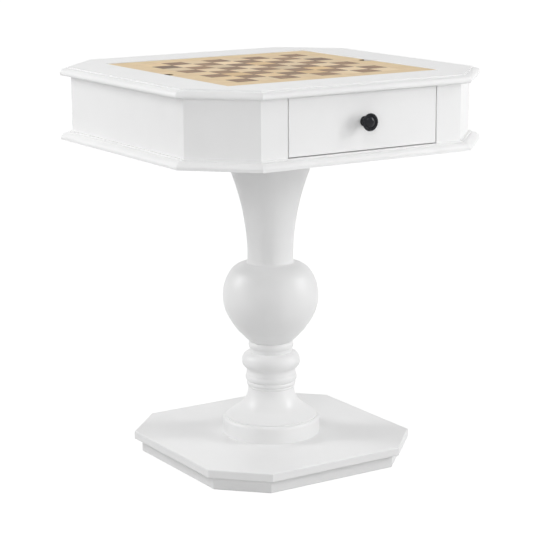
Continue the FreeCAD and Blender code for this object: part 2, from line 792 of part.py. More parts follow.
def drawer_ways():
    """Runners under the drawer sides, guides beside them and, from the top frame, the stop."""
    y = (-L.inner + S.run_gap, L.drawer_end + S.guide_over)
    under = (L.box_half - S.runner_width, L.box_half)
    beside = (L.box_half + S.side_gap, L.box_half + S.side_gap + S.guide_thick)
    for label, x, head in (("drawer_runner", under, L.floor + S.runner_thick),
                           ("drawer_guide", beside, L.floor + S.guide_height)):
        node(box(f"{label}_right", x, y, (L.floor, head)), f"{label}_right")
        node(box(f"{label}_left", (-x[1], -x[0]), y, (L.floor, head)), f"{label}_left")
    stop_front = -L.inner + S.stop_inset
    node(box("drawer_stop", (-S.stop_half, S.stop_half), (stop_front, stop_front + S.stop_depth),
             (L.box_head - S.stop_catch, L.slab)), "drawer_stop")


# ---------------------------------------------------------------- column

def bored(outer, foot, head, tenon=True, socket=True):
    """Close a turned half section, listed from foot to head, with the bore, the tenon below it
    and the socket for the next piece's tenon in its head."""
    corners = []
    if tenon:
        corners += [(S.bore_radius, foot - S.tenon_length), (S.tenon_radius, foot - S.tenon_length),
                    (S.tenon_radius, foot)]
    else:
        corners += [(S.bore_radius, foot)]
    corners += outer
    if socket:
        corners += [(S.tenon_radius, head), (S.tenon_radius, head - S.tenon_length),
                    (S.bore_radius, head - S.tenon_length)]
    else:
        corners += [(S.bore_radius, head)]
    return corners


def foot_disc(fixings):
    """The flat disc that the column stands on."""
    outer = [
        (S.disc_radius, L.base),
        (S.disc_radius, L.disc - S.disc_round, S.disc_round, 1),
        (S.disc_radius - S.disc_round, L.disc),
    ]
    blank = lathe("foot_disc_blank", bored(outer, L.base, L.disc, tenon=False))
    node(cut("column_foot_disc", blank, fixings), "column_foot_disc")


def bell():
    """The bell: an upright rim, a slope and a cove up to the neck."""
    slope = L.disc + S.bell_slope_height
    cove = arc_radius(L.bell - slope, S.bell_slope_radius - S.bell_neck_radius)
    outer = [
        (S.bell_rim_radius, L.disc),
        (S.bell_rim_radius, L.disc + S.bell_rim_height),
        (S.bell_slope_radius, slope, cove, -1),
        (S.bell_neck_radius, L.bell),
    ]
    node(lathe("column_bell", bored(outer, L.disc, L.bell)), "column_bell")


def collar():
    """The collar: three small rings, a hollow, the large ring and one more small ring."""
    outer = [
        (S.fillet_radius, L.bell, bulge_radius(S.fillet_height, S.fillet_bulge), 1),
        (S.fillet_radius, L.fillet),
        (S.bead_radius, L.fillet, bulge_radius(S.bead_height, S.bead_bulge), 1),
        (S.bead_radius, L.bead),
        (S.band_radius, L.bead, bulge_radius(S.band_height, S.band_bulge), 1),
        (S.band_radius, L.band),
        (S.scotia_radius, L.band, S.scotia_bend, -1),
        (S.torus_foot_radius, L.scotia, S.torus_bend, 1),
        (S.torus_head_radius, L.torus),
        (S.groove_radius, L.torus),
        (S.groove_radius, L.groove),
        (S.ring_radius, L.groove, bulge_radius(S.ring_height, S.ring_bulge), 1),
        (S.ring_radius, L.ring),
        (S.groove_radius, L.ring),
        (S.groove_radius, L.urn),
    ]
    node(lathe("column_collar", bored(outer, L.bell, L.urn)), "column_collar")


def urn():
    """The urn: a cone that swells to the belly and closes in a round shoulder and a small cove."""
    cone, belly = L.urn + S.urn_cone_height, L.urn + S.urn_belly
    swell, swell_radius = belly - S.urn_swell_drop, S.urn_radius - S.urn_swell_inset
    shoulder, shoulder_radius = belly + S.urn_shoulder_rise, S.urn_radius - S.urn_shoulder_inset
    head, head_radius = L.neck - S.urn_cove_height, S.neck_radius + S.urn_cove_width
    outer = [
        (S.urn_foot_radius, L.urn),
        (S.urn_cone_radius, cone,
         bulge_radius(swell - cone, S.urn_cone_bulge, swell_radius - S.urn_cone_radius), 1),
        (swell_radius, swell, arc_radius(S.urn_swell_drop, S.urn_swell_inset), 1),
        (S.urn_radius, belly, arc_radius(S.urn_shoulder_rise, S.urn_shoulder_inset), 1),
        (shoulder_radius, shoulder,
         bulge_radius(head - shoulder, S.urn_shoulder_bulge, shoulder_radius - head_radius), 1),
        (head_radius, head, arc_radius(S.urn_cove_height, S.urn_cove_width), -1),
        (S.neck_radius, L.neck),
    ]
    node(lathe("column_urn", bored(outer, L.urn, L.neck)), "column_urn")


def trumpet(fixings):
    """The flare that carries the case."""
    start, rim = L.neck + S.neck_straight, L.case - S.flare_rim
    outer = [
        (S.neck_radius, L.neck),
        (S.neck_radius, start, arc_radius(rim - start, S.flare_radius - S.neck_radius), -1),
        (S.flare_radius, rim),
        (S.flare_radius, L.case),
    ]
    blank = lathe("trumpet_blank", bored(outer, L.neck, L.case, socket=False))
    node(cut("column_trumpet", blank, fixings), "column_trumpet")


def tie_rod():
    """The rod that clamps base, column and case floor together, with its washers and nuts."""
    low_seat, high_seat = S.sink_depth, L.floor
    foot = low_seat - S.washer_thick - S.nut_height - S.rod_end
    head = high_seat + S.washer_thick + S.nut_height + S.rod_end
    node(cylinder("tie_rod", S.rod_radius, (foot, head)), "tie_rod")
    washers, nuts = [], []
    for name, washer, nut in (
            ("low", low_seat - S.washer_thick, low_seat - S.washer_thick - S.nut_height),
            ("high", high_seat, high_seat + S.washer_thick)):
        disc = cylinder(f"washer_{name}_disc", S.washer_radius, (washer, washer + S.washer_thick))
        hole = cylinder(f"washer_{name}_hole", S.rod_radius,
                        (washer - 1, washer + S.washer_thick + 1))
        washers.append(cut(f"washer_{name}", disc, hole))
        blank = DOC.addObject("Part::Prism", f"nut_{name}_blank")
        blank.Polygon = 6
        put(blank, "Circumradius", S.nut_radius)
        put(blank, "Height", S.nut_height)
        place(blank, ZERO, ZERO, nut)
        thread = cylinder(f"nut_{name}_thread", S.rod_radius, (nut - 1, nut + S.nut_height + 1))
        nuts.append(cut(f"nut_{name}", blank, thread))
    node(group("tie_rod_washers", washers), "tie_rod_washers")
    node(group("tie_rod_nuts", nuts), "tie_rod_nuts")


# ---------------------------------------------------------------- base

def rounded_slab(name, inset, z):
    """A base board with its upper and lower edges rounded."""
    half, long_half = S.base_half - inset, L.base_long - inset * MITRE
    body = prism(name, octagon(half, long_half), z)
    DOC.recompute()
    pad = body.Tip
    level = [f"Edge{i + 1}" for i, edge in enumerate(pad.Shape.Edges) if is_level(edge)]
    fillet = body.newObject("PartDesign::Fillet", f"{name}_edges")
    fillet.Base = (pad, level)
    put(fillet, "Radius", S.base_round)
    return body


def base_screws():
    """Screws up through the lower base board into the upper one."""
    return screws("base_screws", S.base_screw_radius, S.base_screw_head, S.base_screw_length,
                  crossed(S.base_screw_spread), ZERO)


def foot_screws():
    """Screws up through the upper base board into the foot disc."""
    return screws("foot_screws", S.base_screw_radius, S.base_screw_head, S.base_screw_length,
                  crossed(S.foot_screw_spread), L.base_mid)


def base(board_fixings, foot_fixings):
    """The lower and the upper base board."""
    upper = rounded_slab("base_upper_blank", ZERO, (L.base_mid, L.base))
    lower = rounded_slab("base_lower_blank", S.base_inset, (ZERO, L.base_mid))
    node(cut("base_upper_board", upper, board_fixings, foot_fixings,
             cylinder("base_upper_bore", S.bore_radius, (L.base_mid - 1, L.base + 1))),
         "base_upper_board")
    node(cut("base_lower_board", lower, board_fixings,
             cylinder("base_lower_bore", S.bore_radius, (ZERO - 1, L.base_mid + 1)),
             cylinder("base_lower_sink", S.sink_radius, (ZERO - 1, S.sink_depth))),
         "base_lower_board")


# ---------------------------------------------------------------- document

def check():
    """Stop on any feature that failed, or any sub-part without a sound solid."""
    DOC.recompute()
    for thing in DOC.Objects:
        if {"Invalid", "Error"} & set(thing.State):
            raise RuntimeError(f"{thing.Name} failed: {thing.State}")
    for thing in NODES:
        if thing.Shape.isNull() or not thing.Shape.isValid() or not thing.Shape.Solids:
            raise RuntimeError(f"{thing.Label} has no sound shape")


def export():
    """Write each sub-part to its own file."""
    os.makedirs("parts", exist_ok=True)
    for thing in NODES:
        thing.Shape.exportStep(f"parts/{thing.Label}.step")
        print(f"{thing.Label}: {len(thing.Shape.Solids)} solids, {thing.Shape.Volume:.0f} mm3")


def main():
    """Build every sub-part, check them and write them out."""
    fixings = {"well_screws": well_screws(), "case_screws": case_screws(),
               "foot_screws": foot_screws(), "base_screws": base_screws(),
               "knob_screw": knob_screw()}
    top_rails(fixings["well_screws"])
    case_panels()
    case_floor(fixings["case_screws"])
    waist_strips()
    well_rails(fixings["well_screws"])
    well_floor()
    game_board()
    drawer_box(fixings["knob_screw"])
    drawer_knob()
    drawer_ways()
    trumpet(fixings["case_screws"])
    urn()
    collar()
    bell()
    foot_disc(fixings["foot_screws"])
    tie_rod()
    base(fixings["base_screws"], fixings["foot_screws"])
    for label, screws_made in fixings.items():
        node(screws_made, label)
    check()
    export()


main()
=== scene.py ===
"""Looks of a pedestal chess table: a white lacquered case with one drawer, a veneered board that
lifts out of the top, a turned column and a two-layer base. Metres, +Z up, the drawer faces -Y."""
import logging
import math
from dataclasses import dataclass
from enum import Enum
from itertools import product
from typing import Any, Iterable, Sequence

import bmesh
import bpy
from mathutils import Matrix, Vector, noise


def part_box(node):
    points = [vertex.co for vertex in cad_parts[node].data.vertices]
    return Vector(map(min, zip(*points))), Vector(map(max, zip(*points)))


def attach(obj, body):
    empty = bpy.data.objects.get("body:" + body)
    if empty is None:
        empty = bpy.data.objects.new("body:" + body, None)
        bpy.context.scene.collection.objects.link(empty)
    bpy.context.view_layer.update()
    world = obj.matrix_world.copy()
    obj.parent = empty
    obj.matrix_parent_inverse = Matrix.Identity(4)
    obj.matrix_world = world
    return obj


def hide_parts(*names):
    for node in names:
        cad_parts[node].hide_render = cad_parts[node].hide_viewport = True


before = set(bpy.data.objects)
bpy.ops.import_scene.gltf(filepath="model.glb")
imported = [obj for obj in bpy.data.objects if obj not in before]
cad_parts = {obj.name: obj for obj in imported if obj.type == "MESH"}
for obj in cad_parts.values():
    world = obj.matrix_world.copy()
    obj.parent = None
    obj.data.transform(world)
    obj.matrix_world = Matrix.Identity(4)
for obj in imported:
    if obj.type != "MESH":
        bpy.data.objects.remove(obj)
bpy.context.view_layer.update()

log = logging.getLogger("chess_table")

SHARP = math.radians(30.0)
FLAT = math.radians(20.0)
ON_AXIS = 1e-7
VARNISH_IOR = 1.5
WHITE = (1.0, 1.0, 1.0)

Triple = tuple[float, float, float]
Colour = Triple
Point = tuple[float, float]
Span = tuple[float, float]
Square = tuple[int, int]
Corner = Sequence[float]


# ---------------------------------------------------------------- shader building

class Value:
    """A number that varies over a surface. Its operators add Math nodes."""

    def __init__(self, shader: "Shader", socket: bpy.types.NodeSocket) -> None:
        """Hold a socket of a shader's tree."""
        self.shader = shader
        self.socket = socket

    def __add__(self, other: "Value | float") -> "Value":
        """Sum."""
        return self.shader.math("ADD", self, other)

    __radd__ = __add__

    def __sub__(self, other: "Value | float") -> "Value":
        """Difference."""
        return self.shader.math("SUBTRACT", self, other)

    def __rsub__(self, other: "Value | float") -> "Value":
        """Difference the other way round."""
        return self.shader.math("SUBTRACT", other, self)

    def __mul__(self, other: "Value | float") -> "Value":
        """Product."""
        return self.shader.math("MULTIPLY", self, other)

    __rmul__ = __mul__

    def __gt__(self, limit: "Value | float") -> "Value":
        """1 where this is above the limit and 0 elsewhere."""
        return self.shader.math("GREATER_THAN", self, limit)

    def __abs__(self) -> "Value":
        """Size without sign."""
        return self.shader.math("ABSOLUTE", self)

    def rise(self, low: float, high: float) -> "Value":
        """Smooth step.

        Args:
            low: Where the result leaves 0.
            high: Where the result reaches 1.

        Returns:
            The step as a value from 0 to 1.
        """
        made = self.shader.node("ShaderNodeMapRange", {"interpolation_type": "SMOOTHSTEP"},
                                {"Value": self, "From Min": low, "From Max": high})
        return Value(self.shader, made.outputs["Result"])


Feed = Value | bpy.types.NodeSocket | float | Sequence[float]


class Shader:
    """The node tree of a material or of the world."""

    def __init__(self, owner: bpy.types.Material | bpy.types.World) -> None:
        """Start the owner's tree empty.

        Args:
            owner: What the tree belongs to.
        """
        owner.use_nodes = True
        self.tree = owner.node_tree
        self.tree.nodes.clear()

    def node(self, kind: str, settings: dict[str, Any] | None = None,
             inputs: dict[str | int, Feed] | None = None) -> bpy.types.Node:
        """Add a node of any type.

        Args:
            kind: The node's type.
            settings: Its properties, set first; "stops" holds a ramp's (place, colour) pairs.
            inputs: Value or link of each socket, by name or number.

        Returns:
            The node.
        """
        made = self.tree.nodes.new(kind)
        for name, value in (settings or {}).items():
            if name == "stops":
                self._set_ramp(made.color_ramp, value)
            else:
                setattr(made, name, value)
        for key, value in (inputs or {}).items():
            socket = made.inputs[key]
            if isinstance(value, Value):
                self.tree.links.new(value.socket, socket)
            elif isinstance(value, bpy.types.NodeSocket):
                self.tree.links.new(value, socket)
            elif socket.type == "RGBA":
                socket.default_value = (*value, 1.0)
            else:
                socket.default_value = value
        return made

    @staticmethod
    def _set_ramp(ramp: bpy.types.ColorRamp, stops: Sequence[tuple[float, Colour]]) -> None:
        """Give a ramp its stops.

        Args:
            ramp: The ramp.
            stops: Pairs of place and colour.
        """
        while len(ramp.elements) < len(stops):
            ramp.elements.new(1.0)
        for element, (place, colour) in zip(ramp.elements, stops):
            element.position = place
            element.color = (*colour, 1.0)

    def math(self, operation: str, *values: Feed) -> Value:
        """Add a Math node on one or more values."""
        made = self.node("ShaderNodeMath", {"operation": operation}, dict(enumerate(values)))
        return Value(self, made.outputs[0])

    def vector(self, operation: str, *values: Feed) -> bpy.types.NodeSocket:
        """Add a Vector Math node on one or more vectors."""
        made = self.node("ShaderNodeVectorMath", {"operation": operation}, dict(enumerate(values)))
        return made.outputs[0]

    def place(self) -> bpy.types.NodeSocket:
        """Position on the piece, in metres in the table's own frame."""
        return self.node("ShaderNodeTexCoord").outputs["Object"]

    def mark(self, name: str) -> bpy.types.NodeSocket:
        """Vector that a piece's mesh carries under a name."""
        return self.node("ShaderNodeAttribute", {"attribute_name": name}).outputs["Vector"]

    def parts(self, vector: Feed) -> tuple[Value, Value, Value]:
        """X, Y and Z of a vector."""
        made = self.node("ShaderNodeSeparateXYZ", inputs={0: vector})
        return tuple(Value(self, made.outputs[i]) for i in range(3))

    def join(self, x: Feed, y: Feed, z: Feed) -> bpy.types.NodeSocket:
        """Vector of three values."""
        return self.node("ShaderNodeCombineXYZ", inputs={0: x, 1: y, 2: z}).outputs[0]

    def ramp(self, factor: Value, stops: Sequence[tuple[float, Colour]]) -> bpy.types.NodeSocket:
        """Colour that follows a value through stops."""
        made = self.node("ShaderNodeValToRGB", {"stops": stops}, {"Fac": factor})
        return made.outputs["Color"]

    def mix(self, factor: Feed, first: Feed, second: Feed,
            way: str = "MIX") -> bpy.types.NodeSocket:
        """Blend two colours.

        Args:
            factor: Share of the second colour.
            first: Colour at 0.
            second: Colour at 1.
            way: Blending mode.

        Returns:
            The blended colour.
        """
        made = self.node("ShaderNodeMix", {"data_type": "RGBA", "blend_type": way},
                         {0: factor, 6: first, 7: second})
        return made.outputs[2]

    def choose(self, factor: Feed, first: Feed, second: Feed) -> bpy.types.NodeSocket:
        """Blend two vectors."""
        made = self.node("ShaderNodeMix", {"data_type": "VECTOR"}, {0: factor, 4: first, 5: second})
        return made.outputs[1]

    def relief(self, height: Value, depth: float,
               under: Feed | None = None) -> bpy.types.NodeSocket:
        """Bump from a height.

        Args:
            height: Height, from 0 to 1.
            depth: Real depth of that range in metres.
            under: Normal that the bump lies on.

        Returns:
            The bumped normal.
        """
        inputs = {"Height": height, "Distance": depth, "Strength": 1.0}
        if under is not None:
            inputs["Normal"] = under
        return self.node("ShaderNodeBump", inputs=inputs).outputs["Normal"]

    def surface(self, inputs: dict[str | int, Feed]) -> None:
        """Close the tree with a Principled shader."""
        shader = self.node("ShaderNodeBsdfPrincipled", inputs=inputs)
        self.node("ShaderNodeOutputMaterial", inputs={"Surface": shader.outputs["BSDF"]})


# ---------------------------------------------------------------- finishes

class Grain(Enum):
    """Way along which a piece's wood runs."""

    X = 0
    Y = 1
    Z = 2


class Cut(Enum):
    """How a piece of veneer or wood is cut from its sheet."""

    ONE = "one piece with its grain one way"
    MITRED = "strips round a frame, each with its grain along it"
    LEAVES = "small leaves, each from its own place in the sheet"


@dataclass(frozen=True)
class Pattern:
    """A smooth noise: features per metre, finer layers and their strength, how far it bends
    itself, and how much longer its features are along the grain than across it."""

    scale: float
    detail: float = 2.0
    rough: float = 0.5
    bend: float = 0.0
    stretch: float = 1.0

    def lay(self, shader: Shader, place: Feed, grain: Grain = Grain.X) -> Value:
        """Lay the pattern over a surface.

        Args:
            shader: The tree.
            place: Positions.
            grain: Way of the grain.

        Returns:
            The noise, about 0.5 on average.
        """
        if self.stretch != 1.0:
            squeeze = [self.stretch] * 3
            squeeze[grain.value] = 1.0
            place = shader.vector("MULTIPLY", place, tuple(squeeze))
        made = shader.node("ShaderNodeTexNoise", inputs={
            "Vector": place, "Scale": self.scale, "Detail": self.detail,
            "Roughness": self.rough, "Distortion": self.bend})
        return Value(shader, made.outputs["Fac"])


@dataclass(frozen=True)
class Finish:
    """A material that pieces are dressed in."""

    name: str
    slot: str

    def paint(self, shader: Shader) -> None:
        """Build the finish's nodes in an empty tree."""
        raise NotImplementedError


@dataclass(frozen=True)
class Lacquer(Finish):
    """White satin lacquer over wood, with a faint unevenness, orange peel and the wood's fibres
    just telegraphing through."""

    grain: Grain = Grain.X
    colour: Colour = (0.86, 0.86, 0.86)
    shade: Colour = (0.83, 0.83, 0.83)
    cloud: Pattern = Pattern(11.0, 3.0)
    peel: Pattern = Pattern(320.0, 1.0)
    fibres: Pattern = Pattern(45.0, 3.0, 0.6, stretch=26.0)
    clouded: Span = (0.35, 0.75)
    cloud_tone: float = 0.5
    fibre_tone: float = 0.2
    roughness: float = 0.34
    cloud_rough: float = 0.08
    peel_rough: float = 0.03
    depth: float = 0.000005

    def paint(self, shader: Shader) -> None:
        """Build the lacquer.

        Args:
            shader: The tree that it fills.
        """
        place = shader.place()
        cloud, peel = self.cloud.lay(shader, place), self.peel.lay(shader, place)
        fibres = self.fibres.lay(shader, place, self.grain)
        share = cloud.rise(*self.clouded) * self.cloud_tone + fibres * self.fibre_tone
        roughness = (self.roughness + (cloud - 0.5) * self.cloud_rough
                     + (peel - 0.5) * self.peel_rough)
        shader.surface({
            "Base Color": shader.mix(share, self.colour, self.shade), "Roughness": roughness,
            "IOR": VARNISH_IOR,
            "Normal": shader.relief(fibres, self.depth, shader.relief(peel, self.depth))})


@dataclass(frozen=True)
class Timber(Finish):
    """Clear-finished wood or veneer with growth figure, fibres and pores. Leaves carry two marks:
    "leaf" holds a leaf's place in the sheet and its turn, "tint" its tone, partly the leaf's own
    and partly painted sheen, and its warmth."""

    pale: Colour = (0.62, 0.47, 0.29)
    middle: Colour = (0.55, 0.40, 0.24)
    deep: Colour = (0.45, 0.31, 0.17)
    warm: Colour = (0.60, 0.41, 0.20)
    grain: Grain = Grain.X
    cut: Cut = Cut.ONE
    figure: Pattern = Pattern(3.0, 4.0, 0.55, 0.6, 16.0)
    fibres: Pattern = Pattern(34.0, 3.0, 0.65, stretch=45.0)
    dashes: Pattern = Pattern(95.0, 1.0, stretch=30.0)
    figure_tone: float = 0.75
    stops: Triple = (0.30, 0.50, 0.68)
    dashed: Span = (0.60, 0.70)
    pores: float = 0.3
    pore_shade: float = 0.35
    roughness: float = 0.42
    fibre_rough: float = 0.12
    pore_rough: float = 0.2
    gloss: float = 0.5
    depth: float = 0.00004
    fibre_depth: float = 0.6

    def _sheet(self, shader: Shader) -> bpy.types.NodeSocket:
        """Positions in the sheet that the wood is cut from.

        Args:
            shader: The tree.

        Returns:
            The positions.
        """
        place = shader.place()
        if self.cut is Cut.ONE:
            return place
        x, y, z = shader.parts(place)
        turned = shader.join(y, x, z)
        if self.cut is Cut.MITRED:
            return shader.choose(abs(x) > abs(y), place, turned)
        leaf = shader.mark("leaf")
        turn = shader.parts(leaf)[2]
        shift = shader.vector("MULTIPLY", leaf, (1.0, 1.0, 0.0))
        return shader.vector("ADD", shader.choose(turn, place, turned), shift)

    def paint(self, shader: Shader) -> None:
        """Build the wood.

        Args:
            shader: The tree that it fills.
        """
        place = self._sheet(shader)
        grain = self.grain if self.cut is Cut.ONE else Grain.Y
        figure, fibres, dashes = (pattern.lay(shader, place, grain)
                                  for pattern in (self.figure, self.fibres, self.dashes))
        tone = figure * self.figure_tone + fibres * (1.0 - self.figure_tone)
        colour = shader.ramp(tone, list(zip(self.stops, (self.deep, self.middle, self.pale))))
        if self.cut is Cut.LEAVES:
            # Each leaf's tone is partly its own and partly painted sheen, fixed per leaf in place
            # of light catching its grain.
            shade, warmth, _ = shader.parts(shader.mark("tint"))
            colour = shader.mix(warmth, colour, self.warm)
            colour = shader.mix(1.0, colour, shader.join(shade, shade, shade), "MULTIPLY")
        pore = dashes.rise(*self.dashed) * self.pores
        colour = shader.mix(pore, colour, tuple(c * self.pore_shade for c in self.deep))
        roughness = (self.roughness + (fibres - 0.5) * self.fibre_rough
                     + pore * self.pore_rough)
        height = fibres * self.fibre_depth + (1.0 - pore) * (1.0 - self.fibre_depth)
        shader.surface({"Base Color": colour, "Roughness": roughness, "IOR": VARNISH_IOR,
                        "Specular IOR Level": self.gloss,
                        "Normal": shader.relief(height, self.depth)})


@dataclass(frozen=True)
class StainedAndShadedEdge(Finish):
    """Board edge, dark partly from stain and partly as painted shade of the finger notches, with
    the layers of its core just showing.
    """

    # Near-black brown: partly the edge's stain, partly painted shade for the gloom deep in the
    # finger notches.
    colour: Colour = (0.055, 0.032, 0.022)
    layer: Colour = (0.11, 0.068, 0.045)
    layers: float = 340.0
    waver: float = 3.0
    bands: Pattern = Pattern(60.0, 3.0)
    striped: Span = (-0.3, 0.9)
    stripe_tone: float = 0.6
    roughness: float = 0.5
    band_rough: float = 0.2
    depth: float = 0.0001

    def paint(self, shader: Shader) -> None:
        """Build the edge.

        Args:
            shader: The tree that it fills.
        """
        place = shader.place()
        bands = self.bands.lay(shader, place)
        height = shader.parts(place)[2]
        stripe = shader.math("SINE", height * (self.layers * 2.0 * math.pi) + bands * self.waver)
        share = stripe.rise(*self.striped) * self.stripe_tone
        shader.surface({"Base Color": shader.mix(share, self.colour, self.layer),
                        "Roughness": self.roughness + (bands - 0.5) * self.band_rough,
                        "Normal": shader.relief(bands, self.depth)})


@dataclass(frozen=True)
class Felt(Finish):
    """Pressed felt with a matted nap, near black partly as its own colour and partly as painted
    shade of the well.
    """

    # Near black: partly the felt's own colour, partly painted shade for the dark of the well under
    # the board.
    colour: Colour = (0.018, 0.018, 0.019)
    nap: Colour = (0.045, 0.045, 0.047)
    hairs: Pattern = Pattern(900.0, 4.0, 0.7, 1.5)
    patches: Pattern = Pattern(24.0, 3.0)
    matted: Span = (0.4, 0.75)
    hair_tone: float = 0.6
    patch_tone: float = 0.3
    roughness: float = 0.92
    hair_rough: float = 0.1
    sheen: float = 0.35
    depth: float = 0.0004

    def paint(self, shader: Shader) -> None:
        """Build the felt.

        Args:
            shader: The tree that it fills.
        """
        place = shader.place()
        hairs, patches = self.hairs.lay(shader, place), self.patches.lay(shader, place)
        share = hairs.rise(*self.matted) * self.hair_tone + patches * self.patch_tone
        shader.surface({"Base Color": shader.mix(share, self.colour, self.nap),
                        "Roughness": self.roughness + (hairs - 0.5) * self.hair_rough,
                        "Sheen Weight": self.sheen, "Sheen Roughness": 0.5,
                        "Normal": shader.relief(hairs, self.depth)})


@dataclass(frozen=True)
class Bronze(Finish):
    """Blue-black bronzed metal with a hard gloss, a little warmer where hands rub it."""

    colour: Colour = (0.007, 0.008, 0.012)
    rubbed: Colour = (0.022, 0.020, 0.020)
    cloud: Pattern = Pattern(130.0, 4.0, 0.6)
    scratches: Pattern = Pattern(420.0, stretch=9.0)
    worn: Span = (0.5, 0.8)
    wear: float = 0.5
    metal: float = 0.15
    roughness: float = 0.08
    cloud_rough: float = 0.06
    scratch_rough: float = 0.03
    gloss: float = 0.30
    depth: float = 0.000004

    def paint(self, shader: Shader) -> None:
        """Build the bronze.

        Args:
            shader: The tree that it fills.
        """
        place = shader.place()
        cloud = self.cloud.lay(shader, place)
        scratches = self.scratches.lay(shader, place, Grain.Z)
        colour = shader.mix(cloud.rise(*self.worn) * self.wear, self.colour, self.rubbed)
        roughness = (self.roughness + cloud * self.cloud_rough
                     + (scratches - 0.5) * self.scratch_rough)
        shader.surface({"Base Color": colour, "Metallic": self.metal, "Roughness": roughness,
                        "Specular IOR Level": self.gloss,
                        "Normal": shader.relief(scratches, self.depth)})


@dataclass(frozen=True)
class Zinc(Finish):
    """Zinc-plated steel with a mottled passivation."""

    colour: Colour = (0.58, 0.59, 0.61)
    tinge: Colour = (0.60, 0.57, 0.46)
    mottle: Pattern = Pattern(260.0, 4.0, 0.6)
    mottled: Span = (0.45, 0.75)
    mottle_tone: float = 0.5
    roughness: float = 0.32
    mottle_rough: float = 0.12
    depth: float = 0.00001

    def paint(self, shader: Shader) -> None:
        """Build the plating.

        Args:
            shader: The tree that it fills.
        """
        mottle = self.mottle.lay(shader, shader.place())
        share = mottle.rise(*self.mottled) * self.mottle_tone
        shader.surface({"Base Color": shader.mix(share, self.colour, self.tinge),
                        "Metallic": 1.0, "Roughness": self.roughness + mottle * self.mottle_rough,
                        "Normal": shader.relief(mottle, self.depth)})


LACQUER_X = Lacquer("lacquer_along_x", "white_lacquer", Grain.X)
LACQUER_Y = Lacquer("lacquer_along_y", "white_lacquer", Grain.Y)
LACQUER_Z = Lacquer("lacquer_upright", "white_lacquer", Grain.Z)
MAPLE = Timber("maple_squares", "light_veneer", (0.86, 0.69, 0.47), (0.81, 0.635, 0.41),
               (0.72, 0.53, 0.32), (0.80, 0.55, 0.26), cut=Cut.LEAVES, pores=0.06,
               roughness=0.58, gloss=0.3)
WALNUT = Timber("walnut_squares", "walnut_veneer", (0.36, 0.218, 0.116), (0.275, 0.160, 0.082),
                (0.168, 0.090, 0.046), (0.31, 0.175, 0.085), cut=Cut.LEAVES, pores=0.7,
                roughness=0.58, gloss=0.3)
BORDER = Timber("honey_border", "maple_veneer", (0.83, 0.655, 0.42), (0.775, 0.59, 0.35),
                (0.675, 0.49, 0.27), cut=Cut.MITRED, pores=0.08, roughness=0.58, gloss=0.3)
BACK_VENEER = Timber("back_veneer", "maple_veneer", (0.70, 0.55, 0.35), (0.64, 0.48, 0.29),
                     (0.56, 0.40, 0.23), pores=0.1)
PLAIN_X = Timber("plain_wood_along_x", "plain_wood", grain=Grain.X)
PLAIN_Y = Timber("plain_wood_along_y", "plain_wood", grain=Grain.Y)
CORE = StainedAndShadedEdge("board_core_edge", "board_core_wood")
FELT = Felt("black_felt_with_painted_shade", "felt")
BRONZE = Bronze("dark_bronze", "dark_bronze")
ZINC = Zinc("zinc_plating", "zinc_steel")


# ---------------------------------------------------------------- making pieces

@dataclass(frozen=True)
class Thread:
    """A screw thread cut into a turned piece."""

    foot: float
    head: float
    pitch: float
    depth: float
    rows: int = 4

    def heights(self) -> list[float]:
        """Heights at which the thread needs a ring of points."""
        count = max(2, round((self.head - self.foot) / self.pitch * self.rows))
        return [self.foot + (self.head - self.foot) * i / count for i in range(count + 1)]

    def cut(self, turn: float, height: float) -> float:
        """Depth of the cut.

        Args:
            turn: Way round the piece, from 0 to 1.
            height: Height on it.

        Returns:
            How far the surface lies inside the blank there.
        """
        if not self.foot < height < self.head:
            return 0.0
        phase = (height / self.pitch - turn) % 1.0
        return self.depth * abs(2.0 * phase - 1.0)


def bow(start: Point, end: Point, rise: float, steps: int) -> list[Point]:
    """Points of an arc.

    Args:
        start: Its first point.
        end: Its last point.
        rise: Height over the chord, to the right of the way from start to end.
        steps: Number of runs.

    Returns:
        The points after the first one.
    """
    a, b = Vector(start), Vector(end)
    chord = b - a
    half = chord.length / 2.0
    radius = (half * half + rise * rise) / (2.0 * abs(rise))
    side = Vector((chord.y, -chord.x)).normalized() * (1.0 if rise > 0 else -1.0)
    centre = (a + b) / 2.0 + side * (abs(rise) - radius)
    reach = 2.0 * math.atan2(abs(rise), half)
    points = []
    for i in range(1, steps + 1):
        angle = reach * (2.0 * i / steps - 1.0)
        spot = centre + side * (radius * math.cos(angle)) + chord.normalized() * (
            radius * math.sin(angle))
        points.append((spot.x, spot.y))
    return points


def outline(start: Point, *runs: Sequence[float]) -> list[Point]:
    """Points of an outline made of straight and curved runs.

    Args:
        start: Its first point.
        runs: Where each run ends, and for an arc its rise and its number of steps.

    Returns:
        The points, the first one among them.
    """
    points = [start]
    for x, y, *arc in runs:
        points += bow(points[-1], (x, y), *arc) if arc else [(x, y)]
    return points


def set_out(name: str, data: bpy.types.ID) -> bpy.types.Object:
    """Put a mesh, a light or a camera in the scene.

    Args:
        name: Name of its object.
        data: What the object holds.

    Returns:
        The object.
    """
    made = bpy.data.objects.new(name, data)
    bpy.context.scene.collection.objects.link(made)
    return made


def tipped(degrees: float) -> Matrix:
    """Turn about the X axis."""
    return Matrix.Rotation(math.radians(degrees), 4, "X")


